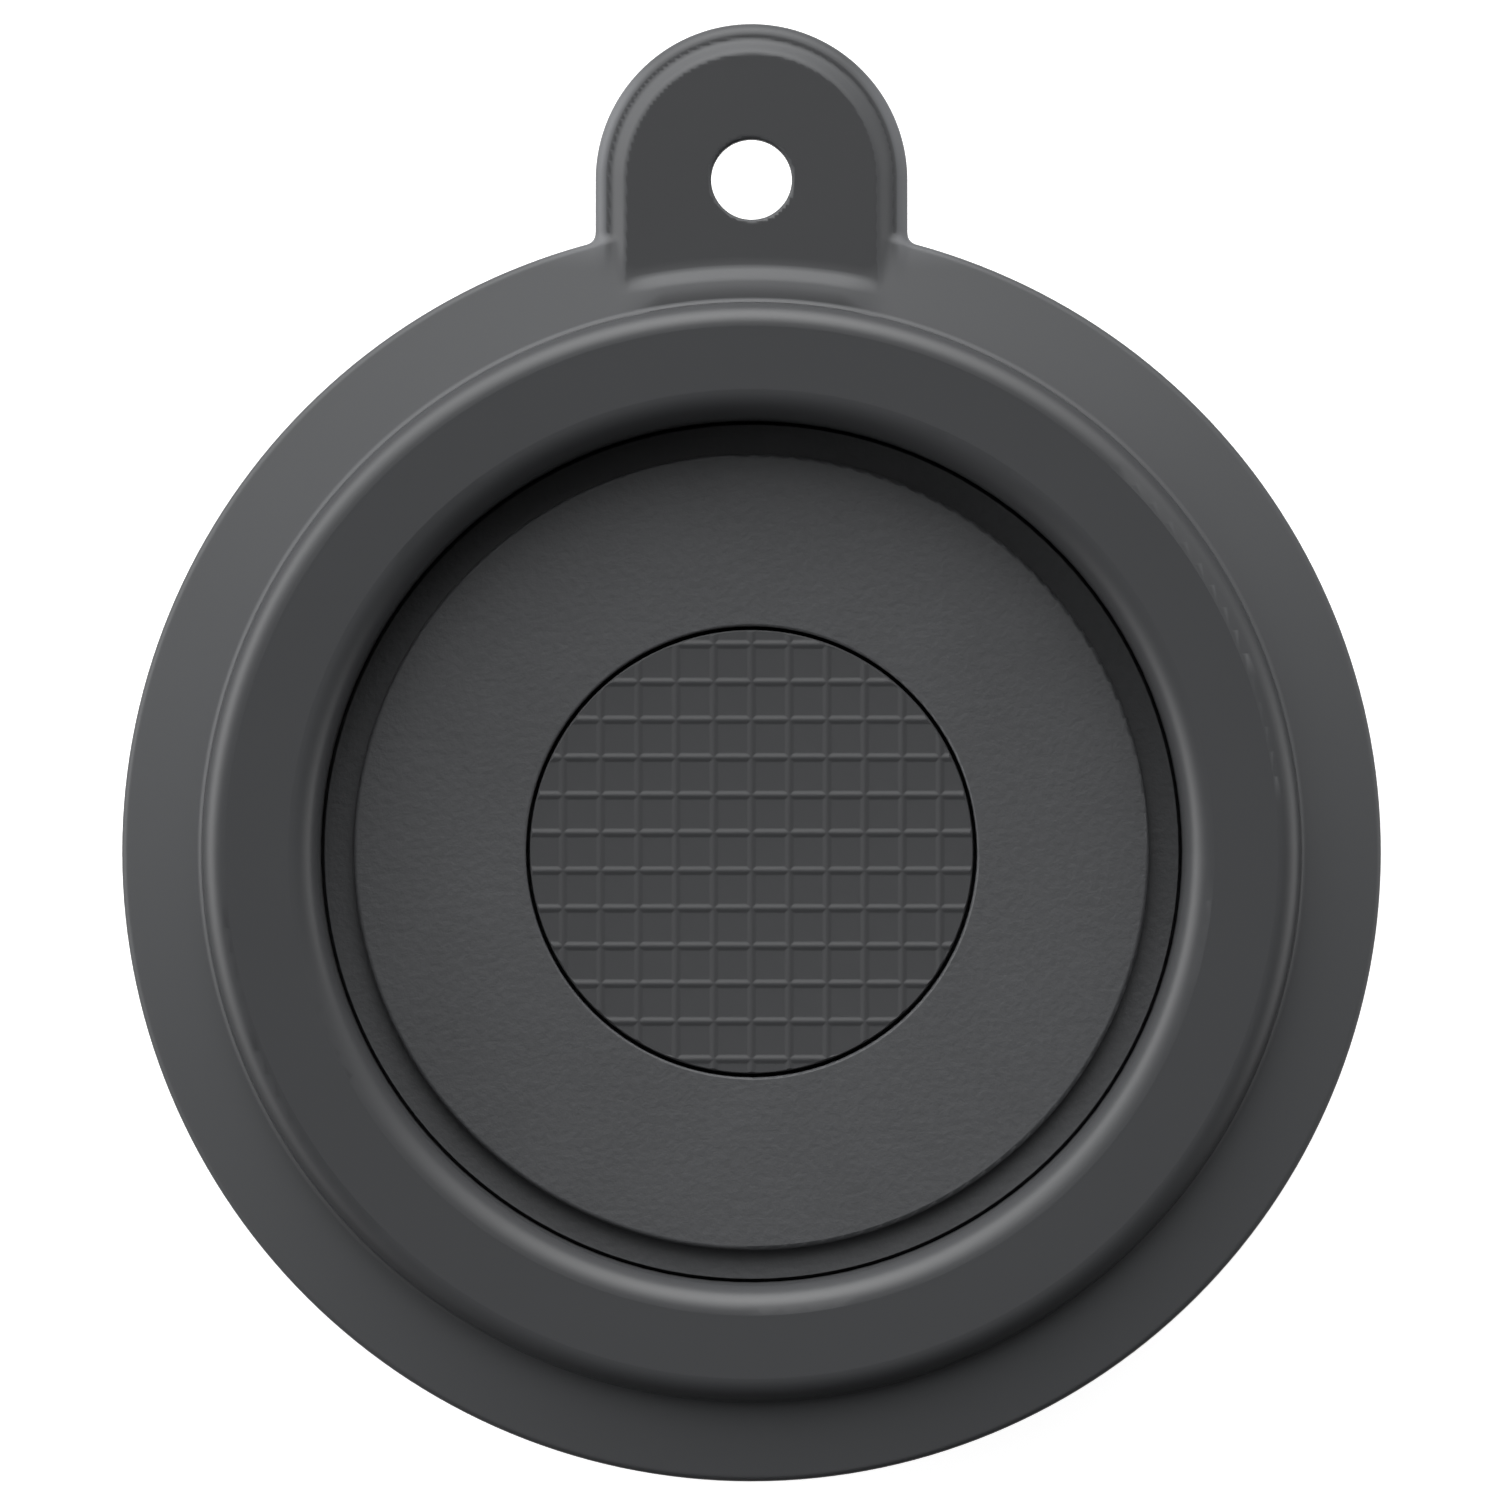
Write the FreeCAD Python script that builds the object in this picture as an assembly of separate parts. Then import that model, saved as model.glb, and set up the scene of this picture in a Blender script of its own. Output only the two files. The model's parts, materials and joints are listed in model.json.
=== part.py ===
"""Portable mini washer: a round, sealed, battery-driven puck that stands in a basin and stirs the water.

Z is up and the puck's axis is the Z axis. The origin is on that axis, in the plane the rubber base ring rests on.
The hanging tab points along +Y and the charging port looks along -Y. Lengths are millimetres, angles degrees.

From the floor up: the rubber base ring, the base shell with its twist-off intake grille and impeller chamber,
the deck that closes the dry bay and carries the motor, the top shell, the soft collar with the hanging tab, and
the bezel ring around a well. The well's floor is the cover plate, with the push button in its middle.
"""
import FreeCAD
import Part

import math
import os

Vector = FreeCAD.Vector
Z_AXIS = Vector(0, 0, 1)
ORIGIN = Vector(0, 0, 0)

# ---------------------------------------------------------------- driving dimensions
# Overall
body_diameter = 100.0        # across the soft collar, without the tab
body_height = 56.0           # base ring's underside to the bezel's flat top

# Collar, with its sloping shoulder and hanging tab
shoulder_width = 6.4         # radial width of the slope outside the bezel
shoulder_slope = 12.0
collar_wall = 2.0
collar_crown = 1.8           # thickness of the slope, measured upright
collar_depth = 7.5           # upright side of the collar
collar_proud = 0.6           # how far the collar stands outside the hard shells
collar_edge_round = 0.5
tab_width = 24.8
tab_overhang = 15.8          # edge of the collar to the far end of the tab
tab_thickness = 3.2
tab_raised = 0.72            # raised face of the tab above the outer edge of the slope
tab_step = 0.8               # raised face above the tab's border
tab_border = 1.25            # flat and rounded border around the raised face
tab_bevel = 1.2              # width of the bevel from the border up to the raised face
tab_edge_round = 1.0
tab_hole_diameter = 6.4
tab_root_rise = 0.45         # low ramp where the tab runs up to the slope
tab_root_width = 2.6

# Bezel ring and the well
bezel_rise = 2.2             # above the top of the slope
bezel_width = 9.3
bezel_outer_round = 1.9
bezel_inner_round = 2.4
bezel_body = 5.2             # top face to the seat on the top shell
bezel_skirt_wall = 2.2
bezel_core_width = 3.2
bezel_core_depth = 2.6
well_depth = 6.0             # bezel's top face to the cover plate's face

# Cover plate and push button
cover_gap = 0.3              # visible gap between cover plate and bezel
groove_width = 2.3           # ring-shaped step around the raised face of the cover plate
groove_depth = 1.4
cover_thickness = 3.4
button_diameter = 35.3
button_gap = 0.3
button_cap_thickness = 1.6
button_travel = 0.8
button_spring_height = 3.6
button_spring_diameter = 12.0
button_spring_wire = 0.6
button_spring_turns = 3
grid_pitch = 3.0
grid_rib_width = 0.75
grid_rib_height = 0.3
pocket_wall = 1.6
pocket_floor = 1.6
stem_diameter = 6.0
stem_guide_length = 3.2
stem_seal_width = 1.5
clip_thickness = 0.6

# Shells
wall = 2.4
ledge_thickness = 2.0
ledge_riser = 1.6            # wall between the ledge and the bezel's seat
ledge_width = 9.5            # how far the cover plate's ledge reaches in from the well's wall
base_ring_height = 2.0
base_ring_width = 4.6
skirt_height = 8.0           # below the bottom plate
plate_thickness = 2.0
chamber_height = 9.0         # impeller chamber; the motor takes the height that is left
deck_thickness = 2.0
spigot_height = 5.0
spigot_wall = 2.9
seal_width = 1.8
seal_depth = 1.2
case_boss_radius = 3.4
case_boss_inset = 6.5        # shell's bore to the case screws' circle
case_boss_angle = 50.0

# Water windows in the base shell
window_count = 40
window_width = 3.0
window_margin = 1.5          # least wall above and below a window

# Intake grille
inlet_diameter = 60.0
grille_thickness = 1.8
grille_flange = 2.6
grille_bar = 0.9
grille_pitch = 3.0
grille_rim = 5.0             # solid border of the grille
grille_lug_angle = 20.0
grille_turn = 25.0
grille_lug_height = 1.2
grille_lug_reach = 1.8
grille_gap = 0.15            # play of the grille in the inlet

# Motor, impeller and shaft
motor_diameter = 24.4
motor_headroom = 1.5         # motor's top to the board
motor_can_wall = 0.8
magnet_thickness = 1.4
motor_screw_circle = 8.0
shaft_diameter = 3.0
bush_diameter = 6.0
seal_outer_diameter = 10.0
hub_diameter = 15.0
hub_depth = 4.6              # deck's top face to the bottom of the shaft seal's hub
impeller_diameter = 56.0
impeller_plate = 1.2
impeller_hub_diameter = 9.0
nut_width = 5.5              # across flats
nut_height = 2.0
vane_count = 7
vane_thickness = 1.4
vane_sweep = 55.0

# Battery, board and port
cell_diameter = 14.0
tray_plate = 1.2
tray_wall = 1.2
tray_wall_height = 8.0
board_thickness = 1.6
board_inset = 3.0            # shell's bore to the board's edge at the port
board_back = 30.0            # axis to the board's far edge
switch_height = 2.6
switch_size = 6.0
plunger_diameter = 3.2
plunger_proud = 1.1
socket_width = 8.94
socket_height = 3.16
socket_length = 7.3
flap_width = 13.0
flap_height = 8.2
flap_thickness = 1.2
flap_barrel_radius = 0.8
flap_pin_radius = 0.4
flap_clearance = 0.2
lens_diameter = 2.0
lens_offset = 12.0           # sideways from the port's middle
wire_diameter = 0.8
lead_landing = 6.7           # board's far edge to where the cell leads are soldered

# Clearances and fasteners
fit_gap = 0.05               # radial play between parts that slide together when assembled
moving_gap = 0.4             # play around parts that turn near fixed ones
running_gap = 0.03           # radial play of the shaft in its bushes and seal
case_screw = (1.25, 2.6, 2.0)    # radius, head radius, head height
case_thread = 11.0               # length of the case screws in the top shell
small_screw = (0.85, 1.7, 1.4)

# ---------------------------------------------------------------- levels and radii that follow
body_radius = body_diameter / 2
shell_radius = body_radius - collar_proud
shell_bore = shell_radius - wall
bezel_radius = body_radius - shoulder_width
well_radius = bezel_radius - bezel_width
cover_radius = well_radius - cover_gap
face_radius = cover_radius - groove_width
button_radius = button_diameter / 2
pocket_radius = button_radius + button_gap
neck_radius = body_radius - collar_wall

slope = math.tan(math.radians(shoulder_slope))
crown_level = body_height - bezel_rise
edge_level = crown_level - shoulder_width * slope
collar_bottom = edge_level - collar_depth
face_level = body_height - well_depth
groove_level = face_level - groove_depth
ledge_level = face_level - cover_thickness
ledge_under = ledge_level - ledge_thickness
seat_level = body_height - bezel_body
cap_under = face_level - button_cap_thickness
pocket_level = cap_under - button_spring_height
pocket_under = pocket_level - pocket_floor
guide_under = pocket_level - stem_guide_length
clip_level = guide_under - 0.1
stem_end = clip_level - clip_thickness - 0.7
board_top = stem_end - plunger_proud - switch_height
board_under = board_top - board_thickness

free_height = board_under - motor_headroom - plate_thickness - deck_thickness
motor_height = free_height - skirt_height - chamber_height
plate_level = skirt_height + plate_thickness
deck_under = plate_level + chamber_height
deck_level = deck_under + deck_thickness
hub_under = deck_level - hub_depth
motor_radius = motor_diameter / 2
motor_top = deck_level + motor_height
shaft_radius = shaft_diameter / 2
impeller_top = hub_under - moving_gap
impeller_bottom = plate_level + 2 * moving_gap + 0.1
case_boss_circle = shell_bore - case_boss_inset
case_boss_reach = case_boss_circle * math.sin(math.radians(case_boss_angle))
cell_length = 2 * (case_boss_reach - case_boss_radius - tray_wall - 1.4)
tray_radius = case_boss_circle - case_boss_radius - 0.9
cell_offset = motor_radius + 1.2 + tray_wall + cell_diameter / 2 + 0.1
board_edge = shell_bore - board_inset
cell_level = deck_level + tray_plate + cell_diameter / 2 + fit_gap
board_half_width = cell_offset - cell_diameter / 2 - 1.0
port_level = board_top + socket_height / 2
tab_level = edge_level + tab_raised
tab_centre = body_radius + tab_overhang - tab_width / 2
inlet_radius = inlet_diameter / 2


# ---------------------------------------------------------------- shape helpers
def rounded_wire(corners):
    """Closed wire in the XZ plane through (r, z) or (r, z, corner radius), with tangent arcs at the corners."""
    edges = []
    starts = []
    ends = []
    middles = []
    count = len(corners)
    for i, corner in enumerate(corners):
        here = Vector(corner[0], 0, corner[1])
        before = Vector(corners[i - 1][0], 0, corners[i - 1][1])
        after = Vector(corners[(i + 1) % count][0], 0, corners[(i + 1) % count][1])
        radius = corner[2] if len(corner) > 2 else 0.0
        if radius == 0.0:
            starts.append(here)
            ends.append(here)
            middles.append(None)
            continue
        to_before = (before - here).normalize()
        to_after = (after - here).normalize()
        half = to_before.getAngle(to_after) / 2
        reach = radius / math.tan(half)
        bisector = (to_before + to_after).normalize()
        centre = here + bisector * (radius / math.sin(half))
        starts.append(here + to_before * reach)
        ends.append(here + to_after * reach)
        middles.append(centre - bisector * radius)
    for i in range(count):
        if middles[i] is not None:
            edges.append(Part.Arc(starts[i], middles[i], ends[i]).toShape())
        following = starts[(i + 1) % count]
        if (following - ends[i]).Length > 1e-7:
            edges.append(Part.LineSegment(ends[i], following).toShape())
    return Part.Wire(edges)


def turned(corners):
    """Solid of revolution about Z from a closed (r, z[, corner radius]) profile."""
    return Part.Face(rounded_wire(corners)).revolve(ORIGIN, Z_AXIS, 360)


def tube(outer, inner, low, high):
    """Upright tube, or a disc when inner is zero."""
    solid = Part.makeCylinder(outer, high - low, Vector(0, 0, low))
    if inner > 0:
        solid = solid.cut(Part.makeCylinder(inner, high - low, Vector(0, 0, low)))
    return solid


def post(radius, low, high, x, y):
    """Upright cylinder at x, y."""
    return Part.makeCylinder(radius, high - low, Vector(x, y, low))


def block(x_low, x_high, y_low, y_high, z_low, z_high):
    """Box between two corners."""
    return Part.makeBox(x_high - x_low, y_high - y_low, z_high - z_low, Vector(x_low, y_low, z_low))


def around(shape, angles):
    """Copies of a shape turned about Z to each angle."""
    copies = []
    for angle in angles:
        copy = shape.copy()
        copy.rotate(ORIGIN, Z_AXIS, angle)
        copies.append(copy)
    return copies


def spread(count, first=0.0):
    """Angles evenly spaced around a circle."""
    return [first + 360.0 * i / count for i in range(count)]


def on_circle(radius, angle):
    """x, y of a point on a circle."""
    return radius * math.cos(math.radians(angle)), radius * math.sin(math.radians(angle))


def joined(shapes):
    """One solid from shapes that touch or overlap."""
    return shapes[0].fuse(shapes[1:]).removeSplitter()


def without(shape, tools):
    """Shape with every tool cut away."""
    return shape.cut(Part.Compound(tools))


def screw(size, length, level, up=True):
    """Pan-head screw on the Z axis. The head's bearing face is at level and the thread points up or down."""
    radius, head_radius, head_height = size
    sign = 1 if up else -1
    head = turned([
        (0, -head_height),
        (head_radius, -head_height, 0.4 * head_height),
        (head_radius, 0),
        (0, 0),
    ])
    slot = Part.Compound([
        block(-head_radius * 0.6, head_radius * 0.6, -0.2, 0.2, -head_height - 1, -head_height * 0.55),
        block(-0.2, 0.2, -head_radius * 0.6, head_radius * 0.6, -head_height - 1, -head_height * 0.55),
    ])
    thread = turned([(0, -0.1), (radius, -0.1), (radius, length - radius / 2), (radius / 2, length), (0, length)])
    solid = joined([head.cut(slot), thread])
    if sign < 0:
        solid.rotate(ORIGIN, Vector(1, 0, 0), 180)
    solid.translate(Vector(0, 0, level))
    return solid


def moved(shape, x, y, z=0.0):
    """Copy of a shape shifted sideways."""
    copy = shape.copy()
    copy.translate(Vector(x, y, z))
    return copy


def tab_outline(inset, level, inner_end):
    """Wire of the tab's outline, drawn in by inset: two straight sides and a round end."""
    half = tab_width / 2 - inset
    left = Vector(-half, tab_centre, level)
    right = Vector(half, tab_centre, level)
    tip = Vector(0, tab_centre + half, level)
    left_root = Vector(-half, inner_end, level)
    right_root = Vector(half, inner_end, level)
    return Part.Wire([
        Part.LineSegment(right_root, right).toShape(),
        Part.Arc(right, tip, left).toShape(),
        Part.LineSegment(left, left_root).toShape(),
        Part.LineSegment(left_root, right_root).toShape(),
    ])


def slab(wire, height):
    """Upright extrusion of a flat wire."""
    return Part.Face(wire).extrude(Vector(0, 0, height))


def slope_level(radius):
    """Height of the shoulder's sloping face at a radius."""
    return edge_level + (body_radius - radius) * slope


# ---------------------------------------------------------------- collar and bezel
def bumper_collar():
    """Soft collar: sloping shoulder, upright edge and the hanging tab, moulded as one."""
    bore = bezel_radius + fit_gap
    ring = turned([
        (neck_radius, collar_bottom),
        (body_radius, collar_bottom, collar_edge_round),
        (body_radius, edge_level, collar_edge_round),
        (bore, slope_level(bore)),
        (bore, slope_level(bore) - collar_crown),
        (neck_radius, slope_level(neck_radius) - collar_crown),
    ])
    inner_end = bezel_radius + fit_gap - 1.0
    border_level = tab_level - tab_step
    under_level = tab_level - tab_thickness
    border = slab(tab_outline(0, under_level, inner_end), border_level - under_level)
    long_edges = [e for e in border.Edges
                  if e.BoundBox.ZLength < 1e-6 and e.BoundBox.YMax > inner_end + 1.0]
    border = border.makeFillet(tab_edge_round, long_edges)
    raised = Part.makeLoft([
        tab_outline(tab_border, border_level, inner_end),
        tab_outline(tab_border + tab_bevel, tab_level, inner_end),
    ], True, True)
    ramp_foot = body_radius - tab_raised / slope
    ramp_top = ramp_foot - 0.8
    ramp = turned([
        (ramp_foot + 0.1, tab_level - 1.0),
        (ramp_foot + 0.1, tab_level),
        (ramp_top, tab_level + tab_root_rise, 0.5),
        (ramp_foot - tab_root_width, slope_level(ramp_foot - tab_root_width)),
        (ramp_foot - tab_root_width, tab_level - 1.0),
    ])
    half = tab_width / 2 - tab_border
    ramp = ramp.common(block(-half, half, 0, body_radius, 0, body_height))
    room = turned([
        (0, 0),
        (neck_radius, 0),
        (neck_radius, slope_level(neck_radius) - collar_crown),
        (bore, slope_level(bore) - collar_crown),
        (bore, body_height + 1),
        (0, body_height + 1),
    ])
    tab = joined([border, raised, ramp]).cut(room)
    hole = post(tab_hole_diameter / 2, 0, body_height, 0, tab_centre)
    return joined([ring, tab]).cut(hole)


def bezel_ring():
    """Flat-topped ring that guards the well, cored out from below between its screw bosses."""
    skirt_radius = well_radius + bezel_skirt_wall
    ring = turned([
        (bezel_radius, seat_level),
        (bezel_radius, body_height, bezel_outer_round),
        (well_radius, body_height, bezel_inner_round),
        (well_radius, ledge_level + moving_gap),
        (skirt_radius, ledge_level + moving_gap),
        (skirt_radius, seat_level),
    ])
    core_middle = bezel_screw_circle()
    core = tube(core_middle + bezel_core_width / 2, core_middle - bezel_core_width / 2,
                seat_level, seat_level + bezel_core_depth)
    boss = post(small_screw[0] * 2.4, seat_level, seat_level + bezel_core_depth, core_middle, 0)
    core = core.cut(Part.Compound(around(boss, spread(4))))
    hole = post(small_screw[0], seat_level, seat_level + bezel_core_depth, core_middle, 0)
    return without(ring, [core] + around(hole, spread(4)))


def bezel_screw_circle():
    """Radius of the bezel's circle of screws, just outside the riser of the cover's ledge."""
    return well_radius + bezel_skirt_wall + fit_gap + ledge_riser + small_screw[1] + 0.3


def bezel_screws():
    """Four screws from inside the top shell up into the bezel."""
    length = ledge_thickness + bezel_core_depth - 0.3
    one = moved(screw(small_screw, length, seat_level - ledge_thickness), bezel_screw_circle(), 0)
    return around(one, spread(4))


# ---------------------------------------------------------------- cover plate and button
def cover_plate():
    """Floor of the well: raised face, ring-shaped step, and the pocket and guide for the push button."""
    guide_radius = stem_diameter / 2 + running_gap
    gland_radius = guide_radius + stem_seal_width
    gland_level = pocket_level - stem_seal_width
    plate = turned([
        (cover_radius, ledge_level),
        (cover_radius, groove_level),
        (face_radius, groove_level),
        (face_radius, face_level, 0.35),
        (pocket_radius, face_level, 0.2),
        (pocket_radius, pocket_level),
        (gland_radius, pocket_level),
        (gland_radius, gland_level),
        (guide_radius, gland_level),
        (guide_radius, guide_under),
        (gland_radius + pocket_wall, guide_under),
        (gland_radius + pocket_wall, pocket_under),
        (pocket_radius + pocket_wall, pocket_under),
        (pocket_radius + pocket_wall, ledge_level),
    ])
    seal_room = tube(cover_radius - 0.8, cover_radius - 0.8 - stem_seal_width,
                     ledge_level, ledge_level + seal_depth)
    hole = post(small_screw[0], ledge_level, ledge_level + cover_thickness - 1.0, cover_screw_circle(), 0)
    return without(plate, [seal_room] + around(hole, spread(4, 45)))


def cover_screw_circle():
    """Radius of the circle of screws between the button's pocket and the cover's seal."""
    inner = max(pocket_radius + pocket_wall, well_radius - ledge_width)
    return (inner + cover_radius - 0.8 - stem_seal_width) / 2


def cover_seal():
    """Face seal squeezed between cover plate and ledge."""
    outer = cover_radius - 0.8 - fit_gap
    inner = outer - stem_seal_width + 2 * fit_gap
    return turned([
        (inner, ledge_level, 0.3),
        (outer, ledge_level, 0.3),
        (outer, ledge_level + seal_depth, 0.3),
        (inner, ledge_level + seal_depth, 0.3),
    ])


def cover_screws():
    """Four screws up through the ledge into the cover plate."""
    length = ledge_thickness + cover_thickness - 1.3
    one = moved(screw(small_screw, length, ledge_under), cover_screw_circle(), 0)
    return around(one, spread(4, 45))


def grid_lines(pitch, reach, offset):
    """Positions of evenly spaced lines within plus and minus reach."""
    steps = int(reach / pitch) + 1
    positions = [offset + pitch * i for i in range(-steps - 1, steps + 1)]
    return [p for p in positions if abs(p) < reach - 0.2]


def button_cap():
    """Soft cap with a raised square grid: a rib on the middle line one way, a cell on it the other way."""
    floor_level = face_level - grid_rib_height
    cap = turned([
        (0, cap_under),
        (button_radius, cap_under),
        (button_radius, floor_level, 0.25),
        (0, floor_level),
    ])
    half = grid_rib_width / 2
    reach = button_radius
    bars = []
    for x in grid_lines(grid_pitch, reach, 0.0):
        bars.append(block(x - half, x + half, -reach, reach, floor_level - 0.2, face_level))
    for y in grid_lines(grid_pitch, reach, grid_pitch / 2):
        bars.append(block(-reach, reach, y - half, y + half, floor_level - 0.2, face_level))
    field = tube(button_radius - 0.2, 0, floor_level - 0.2, face_level)
    ribs = joined(bars).common(field)
    return joined([cap, ribs]).cut(tube(button_stem_head(), 0, cap_under, cap_under + 0.8))


def button_stem_head():
    """Radius of the stem's head, which is bonded into the underside of the cap."""
    return button_spring_diameter / 2 + button_spring_wire


def button_stem():
    """Rigid stem: a head in the cap, a guided shank and a groove for the clip."""
    shank = stem_diameter / 2
    head = button_stem_head() - fit_gap
    return turned([
        (0, stem_end),
        (shank - 0.6, stem_end),
        (shank - 0.6, clip_level),
        (shank, clip_level),
        (shank, cap_under),
        (head, cap_under),
        (head, cap_under + 0.8),
        (0, cap_under + 0.8),
    ])


def button_spring():
    """Return spring around the stem, between the pocket's floor and the stem's head."""
    wire = button_spring_wire / 2
    mean = button_spring_diameter / 2 - wire
    low = pocket_level + wire
    height = button_spring_height - 2 * wire - 0.04
    steps = 16 * button_spring_turns
    points = []
    for i in range(steps + 1):
        x, y = on_circle(mean, 360.0 * i / 16)
        points.append(Vector(x, y, low + height * i / steps))
    curve = Part.BSplineCurve()
    curve.interpolate(points)
    start = curve.tangent(curve.FirstParameter)[0]
    section = Part.Wire(Part.makeCircle(wire, points[0], start))
    return Part.Wire(curve.toShape()).makePipeShell([section], True, False)


def stem_seal():
    """Rubber ring that keeps water out of the stem's guide."""
    inner = stem_diameter / 2 + running_gap
    outer = inner + stem_seal_width - fit_gap
    low = pocket_level - stem_seal_width
    return turned([(inner, low, 0.2), (outer, low, 0.2), (outer, pocket_level, 0.2), (inner, pocket_level, 0.2)])


def stem_clip():
    """Open spring clip that stops the stem against its guide."""
    outer = stem_diameter / 2 + 1.0
    inner = stem_diameter / 2 - 0.6
    ring = tube(outer, inner, clip_level - clip_thickness, clip_level)
    return ring.cut(block(0, outer + 1, -1.2, 1.2, clip_level - 2, clip_level + 1))


# ---------------------------------------------------------------- board and switch
def control_board():
    """Circuit board between the cells, above the motor."""
    half = board_half_width
    board = block(-half, half, -board_edge, board_back, board_under, board_top)
    corner_edges = [e for e in board.Edges if e.BoundBox.ZLength > board_thickness / 2]
    board = board.makeFillet(1.5, corner_edges)
    holes = [post(small_screw[0] + 0.2, board_under, board_top, x, y) for x, y in board_posts()]
    return without(board, holes)


def board_posts():
    """Places of the four posts that carry the board."""
    x = board_half_width - 2.6
    y = motor_radius + 6.0
    return [(x, y), (-x, y), (x, -y), (-x, -y)]


def board_screws():
    """Four screws down into the tray's posts."""
    one = screw(small_screw, board_thickness + 3.5, board_top, up=False)
    return [moved(one, x, y) for x, y in board_posts()]


def board_parts():
    """Driver chips, coil and capacitors soldered on the board."""
    chips = [(0, 14, 5, 5, 1.0), (-7, 9, 3, 4, 1.2), (6.5, -12, 4, 4, 2.2), (-6, -14, 3, 5, 1.4), (0, 24, 7, 4, 2.0)]
    return [block(x - w / 2, x + w / 2, y - d / 2, y + d / 2, board_top, board_top + h)
            for x, y, w, d, h in chips]


def tact_switch():
    """Switch body on the board, under the stem."""
    half = switch_size / 2
    body = block(-half, half, -half, half, board_top, board_top + switch_height)
    return body.cut(post(plunger_diameter / 2 + 0.1, board_top + 0.1, board_top + switch_height, 0, 0))


def switch_plunger():
    """Switch's plunger, which the stem presses."""
    low = board_top + 0.2 + button_travel
    return turned([
        (0, low),
        (plunger_diameter / 2, low),
        (plunger_diameter / 2, stem_end, 0.2),
        (0, stem_end),
    ])


# ---------------------------------------------------------------- top shell and charging port
def case_bosses(radius, low, high):
    """Four columns on the case screws' circle."""
    x, y = on_circle(case_boss_circle, case_boss_angle)
    return [post(radius, low, high, sx * x, sy * y) for sx in (1, -1) for sy in (1, -1)]


def flap_room(grow):
    """The flap's cylindrical patch of the wall, grown for its clearance in the recess."""
    half = flap_width / 2 + grow
    low = port_level - flap_height / 2 - grow
    high = port_level + flap_height / 2 + grow
    patch = block(-half, half, -shell_radius - 1, -shell_radius + 6, low, high)
    upright = [e for e in patch.Edges if e.BoundBox.YLength > 5]
    patch = patch.makeFillet(1.2, upright)
    return patch.common(tube(shell_radius + (0.5 if grow else 0.0), shell_radius - flap_thickness - grow, low, high))


def flap_axis():
    """y and z of the flap's pin."""
    y = -(shell_radius - flap_barrel_radius - 0.5)
    z = port_level - flap_height / 2 + flap_barrel_radius + 0.7
    return y, z


def side_rod(radius, half_length):
    """Rod along X at the flap's pin."""
    y, z = flap_axis()
    return Part.makeCylinder(radius, 2 * half_length, Vector(-half_length, y, z), Vector(1, 0, 0))


def rounded_bar(width, height, y_low, y_high, level):
    """Bar along Y with half-round sides, centred on x = 0 at a level: the shape of the charging port."""
    radius = height / 2
    half = width / 2 - radius
    length = y_high - y_low
    ends = [Part.makeCylinder(radius, length, Vector(x, y_low, level), Vector(0, 1, 0)) for x in (-half, half)]
    return joined([block(-half, half, y_low, y_high, level - radius, level + radius)] + ends)


def top_shell():
    """Hard upper shell: side wall, neck under the collar, bezel seat, cover ledge and screw bosses."""
    neck = neck_radius - fit_gap
    seat_lip = bezel_radius + fit_gap
    skirt_room = well_radius + bezel_skirt_wall + fit_gap
    inner_wall = skirt_room + ledge_riser
    neck_bore = neck - wall
    crown = collar_crown + fit_gap
    shell = turned([
        (shell_radius, deck_level, 0.3),
        (shell_radius, collar_bottom),
        (neck, collar_bottom),
        (neck, slope_level(neck) - crown),
        (seat_lip, slope_level(seat_lip) - crown),
        (seat_lip, seat_level),
        (skirt_room, seat_level),
        (skirt_room, ledge_level),
        (well_radius - ledge_width, ledge_level),
        (well_radius - ledge_width, ledge_under),
        (inner_wall, ledge_under),
        (inner_wall, seat_level - ledge_thickness),
        (neck_bore, seat_level - ledge_thickness),
        (neck_bore, collar_bottom - wall),
        (shell_bore, collar_bottom - wall - (shell_bore - neck_bore)),
        (shell_bore, deck_level),
    ])
    bosses = case_bosses(case_boss_radius, deck_level, seat_level - ledge_thickness + 0.5)
    x, y = on_circle(case_boss_circle, case_boss_angle)
    web = block(case_boss_circle, shell_bore + 0.5, -0.8, 0.8, deck_level + spigot_height + 1, collar_bottom - wall)
    angles = [case_boss_angle, 180 - case_boss_angle, 180 + case_boss_angle, -case_boss_angle]
    shell = joined([shell] + bosses + around(web, angles))
    screw_holes = case_bosses(case_screw[0], deck_level, deck_level + case_thread + 1.0)
    bezel_hole = post(small_screw[0] + 0.15, seat_level - ledge_thickness, seat_level, bezel_screw_circle(), 0)
    cover_hole = post(small_screw[0] + 0.15, ledge_under, ledge_level, cover_screw_circle(), 0)
    port_hole = rounded_bar(socket_width + 1.0, socket_height + 1.4,
                            -shell_radius - 1, -shell_bore + 2, port_level)
    y, z = flap_axis()
    barrel_room = block(-flap_width / 2 - flap_clearance, flap_width / 2 + flap_clearance,
                        -shell_radius - 1, y + flap_barrel_radius + flap_clearance,
                        z - flap_barrel_radius - 1.0, z + flap_barrel_radius + flap_clearance)
    lens_hole = indicator_rod(lens_diameter / 2)
    cutters = screw_holes + around(bezel_hole, spread(4)) + around(cover_hole, spread(4, 45))
    cutters += [port_hole, flap_room(flap_clearance), barrel_room, lens_hole]
    cutters += [side_rod(flap_pin_radius, flap_width / 2 + 1.5)]
    return without(shell, cutters)


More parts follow.
